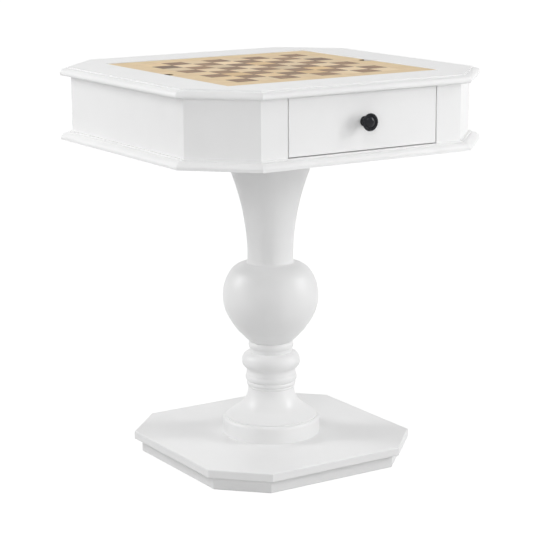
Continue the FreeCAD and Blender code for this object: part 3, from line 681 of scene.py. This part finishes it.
class Workpiece:
    """A piece on the bench: a mesh worked in metres in the table's own frame."""

    def __init__(self) -> None:
        """Start with nothing."""
        self.mesh = bmesh.new()
        self.eased = False

    @classmethod
    def plank(cls, low: Corner, high: Corner) -> "Workpiece":
        """Saw a squared blank.

        Args:
            low: Its lowest corner.
            high: Its highest corner.

        Returns:
            The blank.
        """
        made = cls()
        low, high = Vector(low), Vector(high)
        size = high - low
        place = Matrix.Translation((low + high) / 2.0) @ Matrix.Diagonal((*size, 1.0))
        bmesh.ops.create_cube(made.mesh, size=1.0, matrix=place)
        return made

    @classmethod
    def turned(cls, section: Sequence[Point], steps: int = 96,
               thread: Thread | None = None) -> "Workpiece":
        """Turn a piece round the Z axis.

        Args:
            section: Points (radius, height) from one end of the axis to the other.
            steps: Points in each ring.
            thread: Thread cut into it.

        Returns:
            The turned piece.
        """
        made = cls()
        rings = [made._ring(radius, height, steps, thread)
                 for radius, height in cls._with_thread(section, thread)]
        for lower, upper in zip(rings, rings[1:]):
            for i in range(steps):
                j = (i + 1) % steps
                corners = [lower[i % len(lower)], lower[j % len(lower)],
                           upper[j % len(upper)], upper[i % len(upper)]]
                made.mesh.faces.new(list(dict.fromkeys(corners)))
        bmesh.ops.recalc_face_normals(made.mesh, faces=made.mesh.faces)
        return made

    @classmethod
    def bar(cls, radius: float, foot: float, head: float, steps: int) -> "Workpiece":
        """Turn a plain bar between two heights."""
        return cls.turned([(0.0, foot), (radius, foot), (radius, head), (0.0, head)], steps)

    @staticmethod
    def _with_thread(section: Sequence[Point], thread: Thread | None) -> list[Point]:
        """Add the rings that a thread needs on its straight run.

        Args:
            section: Points (radius, height).
            thread: The thread, if there is one.

        Returns:
            The fuller section.
        """
        points = [section[0]]
        for (r0, z0), (r1, z1) in zip(section, section[1:]):
            if thread and r0 == r1 and z0 <= thread.foot and z1 >= thread.head:
                points += [(r0, z) for z in thread.heights() if z0 < z < z1]
            points.append((r1, z1))
        return points

    def _ring(self, radius: float, height: float, steps: int,
              thread: Thread | None) -> list[bmesh.types.BMVert]:
        """Add a ring of points, or one point on the axis.

        Args:
            radius: Its radius.
            height: Its height.
            steps: Points in it.
            thread: Thread cut into it.

        Returns:
            The points.
        """
        if radius < ON_AXIS:
            return [self.mesh.verts.new((0.0, 0.0, height))]
        ring = []
        for i in range(steps):
            angle = 2.0 * math.pi * i / steps
            reach = radius - (thread.cut(i / steps, height) if thread else 0.0)
            ring.append(self.mesh.verts.new((reach * math.cos(angle), reach * math.sin(angle),
                                             height)))
        return ring

    def ease(self, width: float, segments: int = 2) -> "Workpiece":
        """Round every sharp edge.

        Args:
            width: How far the rounding reaches.
            segments: Faces across it.

        Returns:
            The same piece.
        """
        edges = [e for e in self.mesh.edges
                 if len(e.link_faces) == 2 and e.calc_face_angle() > SHARP]
        bmesh.ops.bevel(self.mesh, geom=edges, offset=width, offset_type="OFFSET",
                        segments=segments, profile=0.5, affect="EDGES", clamp_overlap=True)
        self.eased = True
        return self

    def moved(self, place: Matrix) -> "Workpiece":
        """Put the piece in its place."""
        bmesh.ops.transform(self.mesh, matrix=place, verts=self.mesh.verts)
        return self

    def joined(self, others: Iterable["Workpiece"]) -> "Workpiece":
        """Lay other pieces beside this one in the same object.

        Args:
            others: The other pieces.

        Returns:
            The same piece.
        """
        for other in others:
            spare = bpy.data.meshes.new("spare")
            other.mesh.to_mesh(spare)
            self.mesh.from_mesh(spare)
            bpy.data.meshes.remove(spare)
        return self

    def copies(self, places: Iterable[Matrix]) -> "Workpiece":
        """Repeat the piece, all in one object.

        Args:
            places: Where each copy goes.

        Returns:
            The copies.
        """
        stock = bpy.data.meshes.new("stock")
        self.mesh.to_mesh(stock)
        made = Workpiece()
        for place in places:
            moved = stock.copy()
            moved.transform(place)
            made.mesh.from_mesh(moved)
            bpy.data.meshes.remove(moved)
        bpy.data.meshes.remove(stock)
        return made

    def carved(self, *cutters: "Workpiece", keep: bool = False) -> "Workpiece":
        """Cut other pieces out of this one.

        Args:
            cutters: The pieces that cut.
            keep: Keep what they share with this piece, not the rest.

        Returns:
            The same piece.
        """
        blank, tools = self._laid("blank"), [cutter._laid("cutter") for cutter in cutters]
        for tool in tools:
            step = blank.modifiers.new("cut", "BOOLEAN")
            step.operation = "INTERSECT" if keep else "DIFFERENCE"
            step.solver = "EXACT"
            step.object = tool
        shaped = blank.evaluated_get(bpy.context.evaluated_depsgraph_get())
        mesh = bpy.data.meshes.new_from_object(shaped)
        self.mesh.clear()
        self.mesh.from_mesh(mesh)
        bpy.data.meshes.remove(mesh)
        for spent in (blank, *tools):
            bpy.data.meshes.remove(spent.data)
        return self

    def _laid(self, name: str) -> bpy.types.Object:
        """Put the piece in the scene.

        Args:
            name: Its name there.

        Returns:
            The object.
        """
        mesh = bpy.data.meshes.new(name)
        self.mesh.to_mesh(mesh)
        return set_out(name, mesh)

    def finished(self, name: str) -> bpy.types.Object:
        """Take the piece off the bench, with smooth curves and crisp edges.

        Args:
            name: Its name.

        Returns:
            The object.
        """
        made = self._laid(name)
        made.data.shade_smooth()
        made.data.set_sharp_from_angle(angle=FLAT if self.eased else SHARP)
        self.mesh.free()
        return made


class Workshop:
    """Mixes each finish once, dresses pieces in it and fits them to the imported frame."""

    def __init__(self) -> None:
        """Start with nothing mixed."""
        self.mixed: dict[Finish, bpy.types.Material] = {}

    def dress(self, piece: bpy.types.Object, finish: Finish) -> None:
        """Give a piece its finish.

        Args:
            piece: A mesh object.
            finish: What covers it.
        """
        if finish not in self.mixed:
            self.mixed[finish] = bpy.data.materials.new(finish.name)
            finish.paint(Shader(self.mixed[finish]))
        if not piece.material_slots:
            piece.data.materials.append(self.mixed[finish])
        for place in piece.material_slots:
            place.material = self.mixed[finish]
        log.info("%s: %s", piece.name, finish.name)

    def dress_nodes(self, names: Iterable[str], finish: Finish) -> None:
        """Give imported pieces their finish, by name."""
        for name in names:
            self.dress(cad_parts[name], finish)

    def fit(self, work: Workpiece, name: str, body: str, stands_for: str,
            finish: Finish) -> bpy.types.Object:
        """Finish a piece and put it in the place of a packed one.

        Args:
            work: The piece on the bench.
            name: Its name.
            body: The body that it moves with.
            stands_for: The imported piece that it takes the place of.
            finish: What covers it.

        Returns:
            The fitted piece.
        """
        piece = work.finished(name)
        self.dress(piece, finish)
        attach(piece, body)
        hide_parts(stands_for)
        return piece


# ---------------------------------------------------------------- sub-assemblies

class Way(Enum):
    """Way in which screws are driven and the knob points: degrees about the X axis from up."""

    UP = 0.0
    DOWN = 180.0
    OUTWARD = 90.0


@dataclass
class Case:
    """Panels, stiles, sill, mouldings and top frame."""

    shop: Workshop

    def build(self) -> None:
        """Dress the case."""
        self.shop.dress_nodes(["top_rail_front", "top_rail_back", "apron_back", "front_sill",
                               "waist_long_strips", "waist_corner_strips", "case_floor"],
                              LACQUER_X)
        self.shop.dress_nodes(["top_rail_left", "top_rail_right", "apron_left", "apron_right"],
                              LACQUER_Y)
        corners = [f"{end}_{side}" for end in ("front", "back") for side in ("left", "right")]
        self.shop.dress_nodes(["front_stile_left", "front_stile_right"]
                              + [f"corner_panel_{corner}" for corner in corners], LACQUER_Z)


@dataclass
class Well:
    """Rails, floor and felt under the board."""

    shop: Workshop
    cells: int = 96
    swell: float = 0.00035
    swell_waves: float = 17.0
    trim: float = 0.0009
    trim_waves: float = 22.0
    trim_layer: float = 3.0
    sunk_edge: float = 0.4

    def build(self) -> None:
        """Dress the well and lay the felt in it."""
        self.shop.dress_nodes(["well_rail_front", "well_rail_back", "well_floor"], PLAIN_X)
        self.shop.dress_nodes(["well_rail_left", "well_rail_right"], PLAIN_Y)
        low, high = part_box("well_felt")
        felt = self.shop.fit(self._felt(low, high), "felt_sheet", "table", "well_felt", FELT)

    def _felt(self, low: Vector, high: Vector) -> Workpiece:
        """A sheet that lies flat underneath and swells a little on top.

        Args:
            low: Lowest corner of its room.
            high: Highest corner of its room.

        Returns:
            The sheet.
        """
        made = Workpiece()
        rows = {}
        last = self.cells
        for layer, i, j in product((0, 1), range(last + 1), range(last + 1)):
            rows[layer, i, j] = made.mesh.verts.new(self._spot(low, high, layer, i, j))
        for i, j, layer in product(range(last), range(last), (0, 1)):
            corners = [rows[layer, i, j], rows[layer, i + 1, j], rows[layer, i + 1, j + 1],
                       rows[layer, i, j + 1]]
            made.mesh.faces.new(corners if layer else corners[::-1])
        rim = ([(i, 0) for i in range(last)] + [(last, j) for j in range(last)]
               + [(i, last) for i in range(last, 0, -1)] + [(0, j) for j in range(last, 0, -1)])
        for here, there in zip(rim, rim[1:] + rim[:1]):
            made.mesh.faces.new([rows[0, *here], rows[0, *there], rows[1, *there],
                                 rows[1, *here]])
        return made

    def _spot(self, low: Vector, high: Vector, layer: int, i: int, j: int) -> Vector:
        """Place of one point of the felt.

        Args:
            low: Lowest corner of its room.
            high: Highest corner of its room.
            layer: 0 underneath, 1 on top.
            i: Column of the point.
            j: Row of the point.

        Returns:
            The point, pulled in a little at the hand-cut edge.
        """
        x = low.x + (high.x - low.x) * i / self.cells
        y = low.y + (high.y - low.y) * j / self.cells
        spot = Vector((x, y, self.trim_layer)) * self.trim_waves
        wander = self.trim * (0.5 + 0.5 * noise.noise(spot))
        x += wander * ((i == 0) - (i == self.cells))
        y += wander * ((j == 0) - (j == self.cells))
        if not layer:
            return Vector((x, y, low.z))
        wave = 0.5 + 0.5 * noise.noise(Vector((x, y, 0.0)) * self.swell_waves)
        edge = self.sunk_edge if i in (0, self.cells) or j in (0, self.cells) else 0.0
        return Vector((x, y, high.z - self.swell * (wave + edge)))


@dataclass
class Board:
    """The lift-out chess board: core, back veneer, border and sixty-four veneer squares."""

    shop: Workshop
    files: int = 8
    seam: float = 0.00005
    rounding: float = 0.00012
    seed: float = 11.3
    sheet: float = 3.0
    turned_share: float = 0.2
    # The tone of each square, the darkest and palest ones included, is partly the leaf's own and
    # partly painted sheen: a fixed brightness standing in for light caught by the grain.
    tone: float = 0.94
    tone_spread: float = 0.12
    warmth: float = 0.45
    honey: tuple[Square, ...] = ((4, 5), (1, 2), (5, 2), (4, 1))
    honey_warmth: float = 0.85
    darkest: tuple[Square, ...] = ((0, 6), (7, 5))
    darkest_tone: float = 0.62
    palest: tuple[Square, ...] = ((1, 4), (1, 6), (3, 4), (3, 6), (5, 4), (5, 6))
    palest_tone: float = 1.07

    def build(self) -> None:
        """Dress the board's layers and lay its squares."""
        self.shop.dress_nodes(["board_core"], CORE)
        self.shop.dress_nodes(["board_back_veneer"], BACK_VENEER)
        self.shop.dress_nodes(["board_border"], BORDER)
        for dark, name, node, finish in ((True, "walnut_squares", "board_dark_squares", WALNUT),
                                         (False, "maple_squares", "board_light_squares", MAPLE)):
            self.shop.fit(self._squares(dark, node), name, "board", node, finish)

    def _squares(self, dark: bool, node: str) -> Workpiece:
        """Half of the squares, each with slightly rounded edges and its own leaf of veneer.

        Args:
            dark: Take the dark ones, which start at the front left corner.
            node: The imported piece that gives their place.

        Returns:
            The squares.
        """
        low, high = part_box(node)
        side = (high.x - low.x + 2.0 * self.seam) / self.files
        start = low.x - self.seam
        made = Workpiece()
        leaf = made.mesh.faces.layers.float_vector.new("leaf")
        tint = made.mesh.faces.layers.float_vector.new("tint")
        for file, rank in product(range(self.files), range(self.files)):
            if ((file + rank) % 2 == 0) != dark:
                continue
            x, y = start + side * file, start + side * rank
            square = Workpiece.plank((x + self.seam, y + self.seam, low.z),
                                     (x + side - self.seam, y + side - self.seam, high.z))
            square.ease(self.rounding, 1)
            before = len(made.mesh.faces)
            made.joined([square])
            made.mesh.faces.ensure_lookup_table()
            for face in made.mesh.faces[before:]:
                face[leaf] = self._leaf(file, rank)
                face[tint] = self._tint_and_sheen(file, rank, dark)
        return made

    def _chance(self, file: int, rank: int, draw: int) -> float:
        """A fixed random number from 0 to 1 for a square."""
        return noise.cell(Vector((file + 0.5, rank + 0.5, draw + self.seed)))

    def _leaf(self, file: int, rank: int) -> Vector:
        """Find the leaf that a square is cut from.

        Args:
            file: Its column.
            rank: Its row.

        Returns:
            X and Y in the sheet of veneer, and 1 where the leaf is turned.
        """
        return Vector((self._chance(file, rank, 0) * self.sheet,
                       self._chance(file, rank, 1) * self.sheet,
                       float(self._chance(file, rank, 2) > 1.0 - self.turned_share)))

    def _tint_and_sheen(self, file: int, rank: int, dark: bool) -> Vector:
        """Tone and warmth of a square; the tone is partly the leaf's own and partly painted sheen,
        a fixed brightness that stands in for light catching its grain.

        Args:
            file: Its column.
            rank: Its row.
            dark: Whether it is a dark one.

        Returns:
            Tone, warmth and nothing.
        """
        tone = self.tone + self.tone_spread * self._chance(file, rank, 3)
        warmth = self.warmth * self._chance(file, rank, 4)
        if dark:
            tone *= self.darkest_tone if (file, rank) in self.darkest else 1.0
        elif (file, rank) in self.honey:
            warmth = self.honey_warmth
        elif (file, rank) in self.palest:
            tone, warmth = tone * self.palest_tone, 0.0
        return Vector((tone, warmth, 0.0))


@dataclass
class Drawer:
    """The drawer, its knob and what carries it."""

    shop: Workshop
    rounding: float = 0.0007
    inner_rounding: float = 0.0004
    screw: float = 0.002
    flange: float = 0.0095
    flange_thick: float = 0.003
    neck: float = 0.0068
    neck_length: float = 0.0142
    hollow: float = 0.0045
    head: float = 0.0155
    rim: float = 0.0038
    dish: float = 0.0102
    groove: float = 0.0026
    dome: float = 0.0028
    screw_bite: float = 0.011
    knob_ease: float = 0.0005
    flange_cove: float = -0.0008
    head_cove: float = -0.0024
    rim_bulge: float = 0.0010
    groove_cove: float = -0.0010
    dome_bulge: float = 0.0013
    steps: int = 128
    drill: float = 0.03
    drill_steps: int = 32

    def build(self) -> None:
        """Build the drawer and dress its ways."""
        self.shop.dress_nodes(["drawer_runner_left", "drawer_runner_right", "drawer_guide_left",
                               "drawer_guide_right"], PLAIN_Y)
        self.shop.dress_nodes(["drawer_stop"], PLAIN_X)
        for name, node, finish, width in (
                ("drawer_face", "drawer_front", LACQUER_X, self.rounding),
                ("drawer_left_side", "drawer_side_left", PLAIN_Y, self.inner_rounding),
                ("drawer_right_side", "drawer_side_right", PLAIN_Y, self.inner_rounding),
                ("drawer_rear", "drawer_back", PLAIN_X, self.inner_rounding)):
            self.shop.fit(self._grooved(node, width), name, "drawer", node, finish)
        tray = Workpiece.plank(*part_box("drawer_bottom")).ease(self.inner_rounding, 1)
        self.shop.fit(tray, "drawer_tray", "drawer", "drawer_bottom", PLAIN_X)
        self.shop.fit(self._knob(), "turned_knob", "drawer", "drawer_knob", BRONZE)

    def _grooved(self, node: str, width: float) -> Workpiece:
        """A board of the drawer, with rounded edges, the tray's groove and the screw's hole.

        Args:
            node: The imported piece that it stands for.
            width: Rounding of its edges.

        Returns:
            The board.
        """
        board = Workpiece.plank(*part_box(node)).ease(width)
        cutters = [Workpiece.plank(*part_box("drawer_bottom"))]
        if node == "drawer_front":
            low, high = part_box("knob_screw")
            hole = Workpiece.bar(self.screw, -self.drill, self.drill, self.drill_steps)
            cutters.append(hole.moved(Matrix.Translation((low + high) / 2.0)
                                      @ tipped(Way.OUTWARD.value)))
        return board.carved(*cutters)

    def _knob(self) -> Workpiece:
        """A mushroom knob with a ring groove round a domed face.

        Returns:
            The knob, in its place.
        """
        low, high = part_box("drawer_knob")
        foot, ease = self.flange_thick, self.knob_ease
        head = foot + self.neck_length
        rim = head + self.rim
        groove = self.dish + self.groove
        section = outline(
            (0.0, self.screw_bite), (self.screw, self.screw_bite), (self.screw, 0.0),
            (self.flange - ease, 0.0), (self.flange, ease), (self.flange, foot / 2.0),
            (self.neck, foot * 2.0, self.flange_cove, 8), (self.neck, head - self.hollow),
            (self.head, head, self.head_cove, 12), (self.head, rim, self.rim_bulge, 10),
            (groove + ease, rim), (groove, rim - ease),
            (self.dish, rim - ease * 2.0, self.groove_cove, 12),
            (0.0, rim + self.dome, self.dome_bulge, 20))
        place = Matrix.Translation(((low.x + high.x) / 2.0, high.y, (low.z + high.z) / 2.0))
        return Workpiece.turned(section, self.steps).moved(place @ tipped(Way.OUTWARD.value))


@dataclass
class Pedestal:
    """Column and base."""

    shop: Workshop

    def build(self) -> None:
        """Dress the column and the base."""
        self.shop.dress_nodes(["column_trumpet", "column_urn", "column_collar", "column_bell",
                               "column_foot_disc"], LACQUER_Z)
        self.shop.dress_nodes(["base_upper_board", "base_lower_board"], LACQUER_X)


@dataclass
class Hardware:
    """Tie rod and screws."""

    shop: Workshop
    shank: float = 0.0025
    head: float = 0.005
    length: float = 0.038
    base_spread: float = 0.135
    column_spread: float = 0.050
    well_shank: float = 0.002
    well_head: float = 0.004
    well_spread: float = 0.15
    turns: Triple = (0.4, 1.0, 2.3)
    well_turns: Triple = (0.0, 9.0, 5.0)
    brim: float = 0.0003
    plain_share: float = 0.36
    tip: float = 0.4
    pitch: float = 0.0018
    thread_share: float = 0.28
    recess: Triple = (0.62, 0.11, 0.42)
    steps: int = 20
    over: float = 0.001
    pan_rim: float = 0.34
    pan_crown: float = 0.0004
    pan_plain: float = 0.008
    pan_tip: float = 0.0005
    pan_pitch: float = 0.0007
    pan_cut: float = 0.0003
    pan_end: float = 0.75
    pan_arm: float = 0.6
    pan_recess: Point = (0.0004, 0.0011)
    pan_steps: int = 24
    rod_pitch: float = 0.00175
    rod_cut: float = 0.0006
    rod_thread: float = 0.03
    rod_ease: float = 0.0008
    rod_steps: int = 32
    washer_ease: float = 0.0003
    washer_thick: float = 0.003
    washer_steps: int = 64
    nut_thick: float = 0.010
    nut_chamfer: float = 0.0014
    nut_sides: int = 6

    def build(self) -> None:
        """Make the steel."""
        for held, way, spread in (("base", Way.UP, self.base_spread),
                                  ("foot", Way.UP, self.column_spread),
                                  ("case", Way.DOWN, self.column_spread)):
            spots = [(x * spread, y * spread, self._turn(self.turns, x, y))
                     for x, y in ((1, 1), (-1, 1), (-1, -1), (1, -1))]
            self._screws(held, way, spots, self.shank, self.head, self.length)
        low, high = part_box("well_screws")
        across = high.x - self.well_head
        spots = [(x, y, self._turn(self.well_turns, x, y))
                 for along in (-self.well_spread, self.well_spread)
                 for x, y in ((along, -across), (across, along), (along, across),
                              (-across, along))]
        self._screws("well", Way.UP, spots, self.well_shank, self.well_head, high.z - low.z)
        self._knob_screw()
        self._rod()

    @staticmethod
    def _turn(turns: Triple, x: float, y: float) -> float:
        """Turn of a screw's cross recess, which differs from place to place."""
        return turns[0] + turns[1] * x + turns[2] * y

    def _crossed(self, screw: Workpiece, arm: float, wide: float, deep: float) -> Workpiece:
        """Cut a cross recess of that length and width, from its middle, into a screw's head."""
        return screw.carved(Workpiece.plank((-arm, -wide, -self.over), (arm, wide, deep)),
                            Workpiece.plank((-wide, -arm, -self.over), (wide, arm, deep)))

    def _wood_screw(self, shank: float, head: float, length: float) -> Workpiece:
        """A countersunk wood screw that points up, with a cross recess in its head.

        Args:
            shank: Its radius.
            head: Radius of its head.
            length: Its length.

        Returns:
            The screw, with the middle of its head at the origin.
        """
        plain, end = length * self.plain_share, shank * self.tip
        section = [(0.0, 0.0), (head, 0.0), (head, self.brim), (shank, head - shank + self.brim),
                   (shank, plain), (shank, length - shank), (end, length - end / 2.0),
                   (0.0, length)]
        thread = Thread(plain, length - shank, self.pitch, shank * self.thread_share)
        return self._crossed(Workpiece.turned(section, self.steps, thread),
                             *(head * share for share in self.recess))

    def _screws(self, held: str, way: Way, spots: Sequence[Triple], shank: float, head: float,
                length: float) -> None:
        """Drive a wood screw at each spot.

        Args:
            held: What the screws hold, as their names say.
            way: Way in which they are driven.
            spots: X, Y and turn of each.
            shank: Radius of the shank.
            head: Radius of the head.
            length: Length.
        """
        node = f"{held}_screws"
        low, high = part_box(node)
        height = high.z if way is Way.DOWN else low.z
        places = [Matrix.Translation((x, y, height)) @ tipped(way.value)
                  @ Matrix.Rotation(turn, 4, "Z") for x, y, turn in spots]
        work = self._wood_screw(shank, head, length).copies(places)
        self.shop.fit(work, f"{held}_wood_screws", "table", node, ZINC)

    def _knob_screw(self) -> None:
        """The pan-head machine screw that holds the knob."""
        low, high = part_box("knob_screw")
        centre = (low + high) / 2.0
        head, length = (high.x - low.x) / 2.0, high.y - low.y
        shank, rim, end = head / 2.0, head * self.pan_rim, length - self.pan_tip
        section = outline((0.0, 0.0), (head, rim, self.pan_crown, 6), (head, shank),
                          (shank, shank), (shank, end), (shank * self.pan_end, length),
                          (0.0, length))
        thread = Thread(self.pan_plain, end, self.pan_pitch, self.pan_cut)
        screw = self._crossed(Workpiece.turned(section, self.pan_steps, thread),
                              head * self.pan_arm, *self.pan_recess)
        screw.moved(Matrix.Translation((centre.x, high.y, centre.z)) @ tipped(Way.OUTWARD.value))
        self.shop.fit(screw, "knob_machine_screw", "drawer", "knob_screw", ZINC)

    def _rod(self) -> None:
        """The tie rod, threaded at both ends, its washers and its nuts."""
        low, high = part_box("tie_rod")
        radius, ease = (high.x - low.x) / 2.0, self.rod_ease
        foot, head = low.z + self.rod_thread, high.z - self.rod_thread
        lower = [(0.0, low.z), (radius - ease, low.z), (radius, low.z + ease), (radius, foot),
                 (0.0, foot)]
        upper = [(0.0, head), (radius, head), (radius, high.z - ease), (radius - ease, high.z),
                 (0.0, high.z)]
        ends = [Workpiece.turned(section, self.rod_steps,
                                 Thread(start, end, self.rod_pitch, self.rod_cut))
                for section, start, end in ((lower, low.z + ease, foot),
                                            (upper, head, high.z - ease))]
        middle = Workpiece.bar(radius, foot, head, self.rod_steps)
        rod = ends[0].joined([middle, ends[1]])
        self.shop.fit(rod, "threaded_rod", "table", "tie_rod", ZINC)
        self.shop.fit(self._washers(radius), "rod_washers", "table", "tie_rod_washers", ZINC)
        self.shop.fit(self._nuts(radius), "rod_nuts", "table", "tie_rod_nuts", ZINC)

    @staticmethod
    def _ends(low: Vector, high: Vector, thick: float) -> list[Matrix]:
        """Places of two pieces on the rod, one at the foot and one at the head of their room."""
        return [Matrix.Translation((0.0, 0.0, z)) for z in (low.z, high.z - thick)]

    def _washers(self, hole: float) -> Workpiece:
        """Two flat washers with rounded edges.

        Args:
            hole: Radius of the rod.

        Returns:
            The washers.
        """
        low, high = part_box("tie_rod_washers")
        reach, ease, thick = (high.x - low.x) / 2.0, self.washer_ease, self.washer_thick
        section = [(hole, 0.0), (reach - ease, 0.0), (reach, ease), (reach, thick - ease),
                   (reach - ease, thick), (hole, thick), (hole, 0.0)]
        return Workpiece.turned(section, self.washer_steps).copies(
            self._ends(low, high, thick))

    def _nuts(self, hole: float) -> Workpiece:
        """Two six-sided nuts with turned chamfers.

        Args:
            hole: Radius of the rod.

        Returns:
            The nuts.
        """
        low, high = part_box("tie_rod_nuts")
        reach, thick, chamfer = (high.x - low.x) / 2.0, self.nut_thick, self.nut_chamfer
        nut = Workpiece.bar(reach, 0.0, thick, self.nut_sides)
        blank = Workpiece.turned([(0.0, 0.0), (reach - chamfer, 0.0), (reach, chamfer * 0.5),
                                  (reach, thick - chamfer * 0.5), (reach - chamfer, thick),
                                  (0.0, thick)])
        bore = Workpiece.bar(hole, -self.over, thick + self.over, self.rod_steps)
        nut.carved(blank, keep=True).carved(bore)
        return nut.copies(self._ends(low, high, thick))


# ---------------------------------------------------------------- studio

@dataclass
class Camera:
    """The camera, aimed by angles."""

    yaw: float = 32.278
    pitch: float = 12.338
    roll: float = -0.369
    distance: float = 3.55328
    sideways: float = -0.007867
    height: float = 1.16328
    focal: float = 1813.04
    frame_side: int = 533
    sensor: float = 36.0
    reach: float = 200.0

    def build(self) -> None:
        """Make the camera and set it as the scene's."""
        yaw, pitch, roll = (math.radians(a) for a in (self.yaw, self.pitch, self.roll))
        ahead = Vector((math.sin(yaw) * math.cos(pitch), math.cos(yaw) * math.cos(pitch),
                        -math.sin(pitch)))
        level = Vector((math.cos(yaw), -math.sin(yaw), 0.0))
        up = level.cross(ahead)
        right = level * math.cos(roll) + up * math.sin(roll)
        top = up * math.cos(roll) - level * math.sin(roll)
        place = (-Vector((math.sin(yaw), math.cos(yaw), 0.0)) * self.distance
                 + level * self.sideways + Vector((0.0, 0.0, self.height)))
        lens = bpy.data.cameras.new("camera")
        lens.sensor_width = self.sensor
        lens.lens = self.focal / self.frame_side * self.sensor
        lens.clip_end = self.reach
        camera = set_out("camera", lens)
        axes = Matrix((right, top, -ahead)).transposed().to_4x4()
        camera.matrix_world = Matrix.Translation(place) @ axes
        bpy.context.scene.camera = camera


def toward(azimuth: float, elevation: float) -> Vector:
    """Direction at degrees to the right of the table's front and at degrees over the floor."""
    a, e = math.radians(azimuth), math.radians(elevation)
    return Vector((math.sin(a) * math.cos(e), -math.cos(a) * math.cos(e), math.sin(e)))


@dataclass(frozen=True)
class Softbox:
    """A rectangular studio light that faces the table. Its level is how bright a white surface
    facing it gets, and glossy surfaces show it only where it is mirrored."""

    name: str
    azimuth: float
    elevation: float
    distance: float
    width: float
    height: float
    level: float
    mirrored: bool = True

    def build(self, target: Vector) -> None:
        """Make the light.

        Args:
            target: Point that it faces.
        """
        back = toward(self.azimuth, self.elevation)
        data = bpy.data.lights.new(self.name, "AREA")
        data.shape = "RECTANGLE"
        data.size, data.size_y = self.width, self.height
        data.energy = self.level * math.pi * math.pi * self.distance ** 2
        light = set_out(self.name, data)
        light.location = target + back * self.distance
        light.rotation_mode = "QUATERNION"
        light.rotation_quaternion = back.to_track_quat("Z", "Y")
        light.visible_glossy = self.mirrored


@dataclass
class Studio:
    """Pale floor, white surroundings, soft lights and the camera."""

    floor_half: float = 60.0
    floor_colour: Colour = (0.55, 0.55, 0.55)
    floor_veil: float = 0.65
    floor_glow: float = 1.40
    far_glow: float = 1.56
    horizon: float = 0.20
    near: float = 0.4
    far: float = 2.4
    aim: Triple = (0.0, 0.0, 0.42)
    boxes: tuple[Softbox, ...] = (
        Softbox("softbox_left", -130.0, 25.0, 2.8, 1.8, 1.7, 0.29, False),
        Softbox("strip_left", -129.0, 29.0, 2.8, 0.4, 1.5, 0.24),
        Softbox("strip_right", 57.0, 28.0, 2.8, 0.28, 1.5, 0.23),
        Softbox("softbox_right", 50.0, 11.0, 2.8, 1.5, 1.4, 0.35, False),
        Softbox("softbox_high", -42.0, 57.0, 2.8, 1.9, 1.9, 0.21),
        Softbox("softbox_front", -36.0, 13.0, 3.0, 2.4, 1.4, 0.34, False),
        Softbox("softbox_back", 148.0, 50.0, 2.8, 1.9, 1.7, 0.16),
    )

    def build(self) -> None:
        """Set up everything that isn't the table."""
        self._floor()
        self._world()
        for box in self.boxes:
            box.build(Vector(self.aim))
        Camera().build()
        bpy.context.scene.view_settings.view_transform = "Standard"

    @staticmethod
    def _seen(shader: Shader) -> Value:
        """Tell the rays that show surroundings: camera, glossy and transmission.

        Args:
            shader: The tree.

        Returns:
            1 for such rays and 0 for others.
        """
        path = shader.node("ShaderNodeLightPath")
        seen = [Value(shader, path.outputs[name])
                for name in ("Is Camera Ray", "Is Glossy Ray", "Is Transmission Ray")]
        return shader.math("MAXIMUM", shader.math("MAXIMUM", seen[0], seen[1]), seen[2])

    def _floor(self) -> None:
        """A plain pale floor that shows white round the table's own shadow."""
        mesh = bpy.data.meshes.new("floor")
        side = self.floor_half
        mesh.from_pydata([(-side, -side, 0), (side, -side, 0), (side, side, 0), (-side, side, 0)],
                         [], [(0, 1, 2, 3)])
        floor = set_out("floor", mesh)
        paint = bpy.data.materials.new("floor")
        shader = Shader(paint)
        x, y, _ = shader.parts(shader.place())
        away = shader.math("SQRT", x * x + y * y).rise(self.near, self.far)
        strength = away * (self.far_glow - self.floor_glow) + self.floor_glow
        glow = shader.node("ShaderNodeEmission", inputs={"Color": WHITE,
                                                         "Strength": strength})
        matt = shader.node("ShaderNodeBsdfDiffuse", inputs={"Color": self.floor_colour})
        both = shader.node("ShaderNodeMixShader", inputs={
            0: self._seen(shader) * self.floor_veil, 1: matt.outputs[0], 2: glow.outputs[0]})
        shader.node("ShaderNodeOutputMaterial", inputs={"Surface": both.outputs[0]})
        floor.data.materials.append(paint)

    def _world(self) -> None:
        """White surroundings that light the table less than they show, mostly from the sides."""
        world = bpy.data.worlds.new("studio")
        bpy.context.scene.world = world
        shader = Shader(world)
        rise = shader.parts(shader.node("ShaderNodeTexCoord").outputs["Generated"])[2]
        light = (1.0 - rise * rise) * self.horizon
        seen = self._seen(shader)
        back = shader.node("ShaderNodeBackground", inputs={
            "Color": WHITE, "Strength": seen + light * (1.0 - seen)})
        shader.node("ShaderNodeOutputWorld", inputs={"Surface": back.outputs[0]})


def main() -> None:
    """Build and dress the table and set up the studio."""
    logging.basicConfig(level=logging.INFO, format="%(name)s %(message)s")
    Studio().build()
    shop = Workshop()
    for part in (Pedestal(shop), Case(shop), Well(shop), Board(shop), Drawer(shop),
                 Hardware(shop)):
        part.build()


if __name__ == "__main__":
    main()
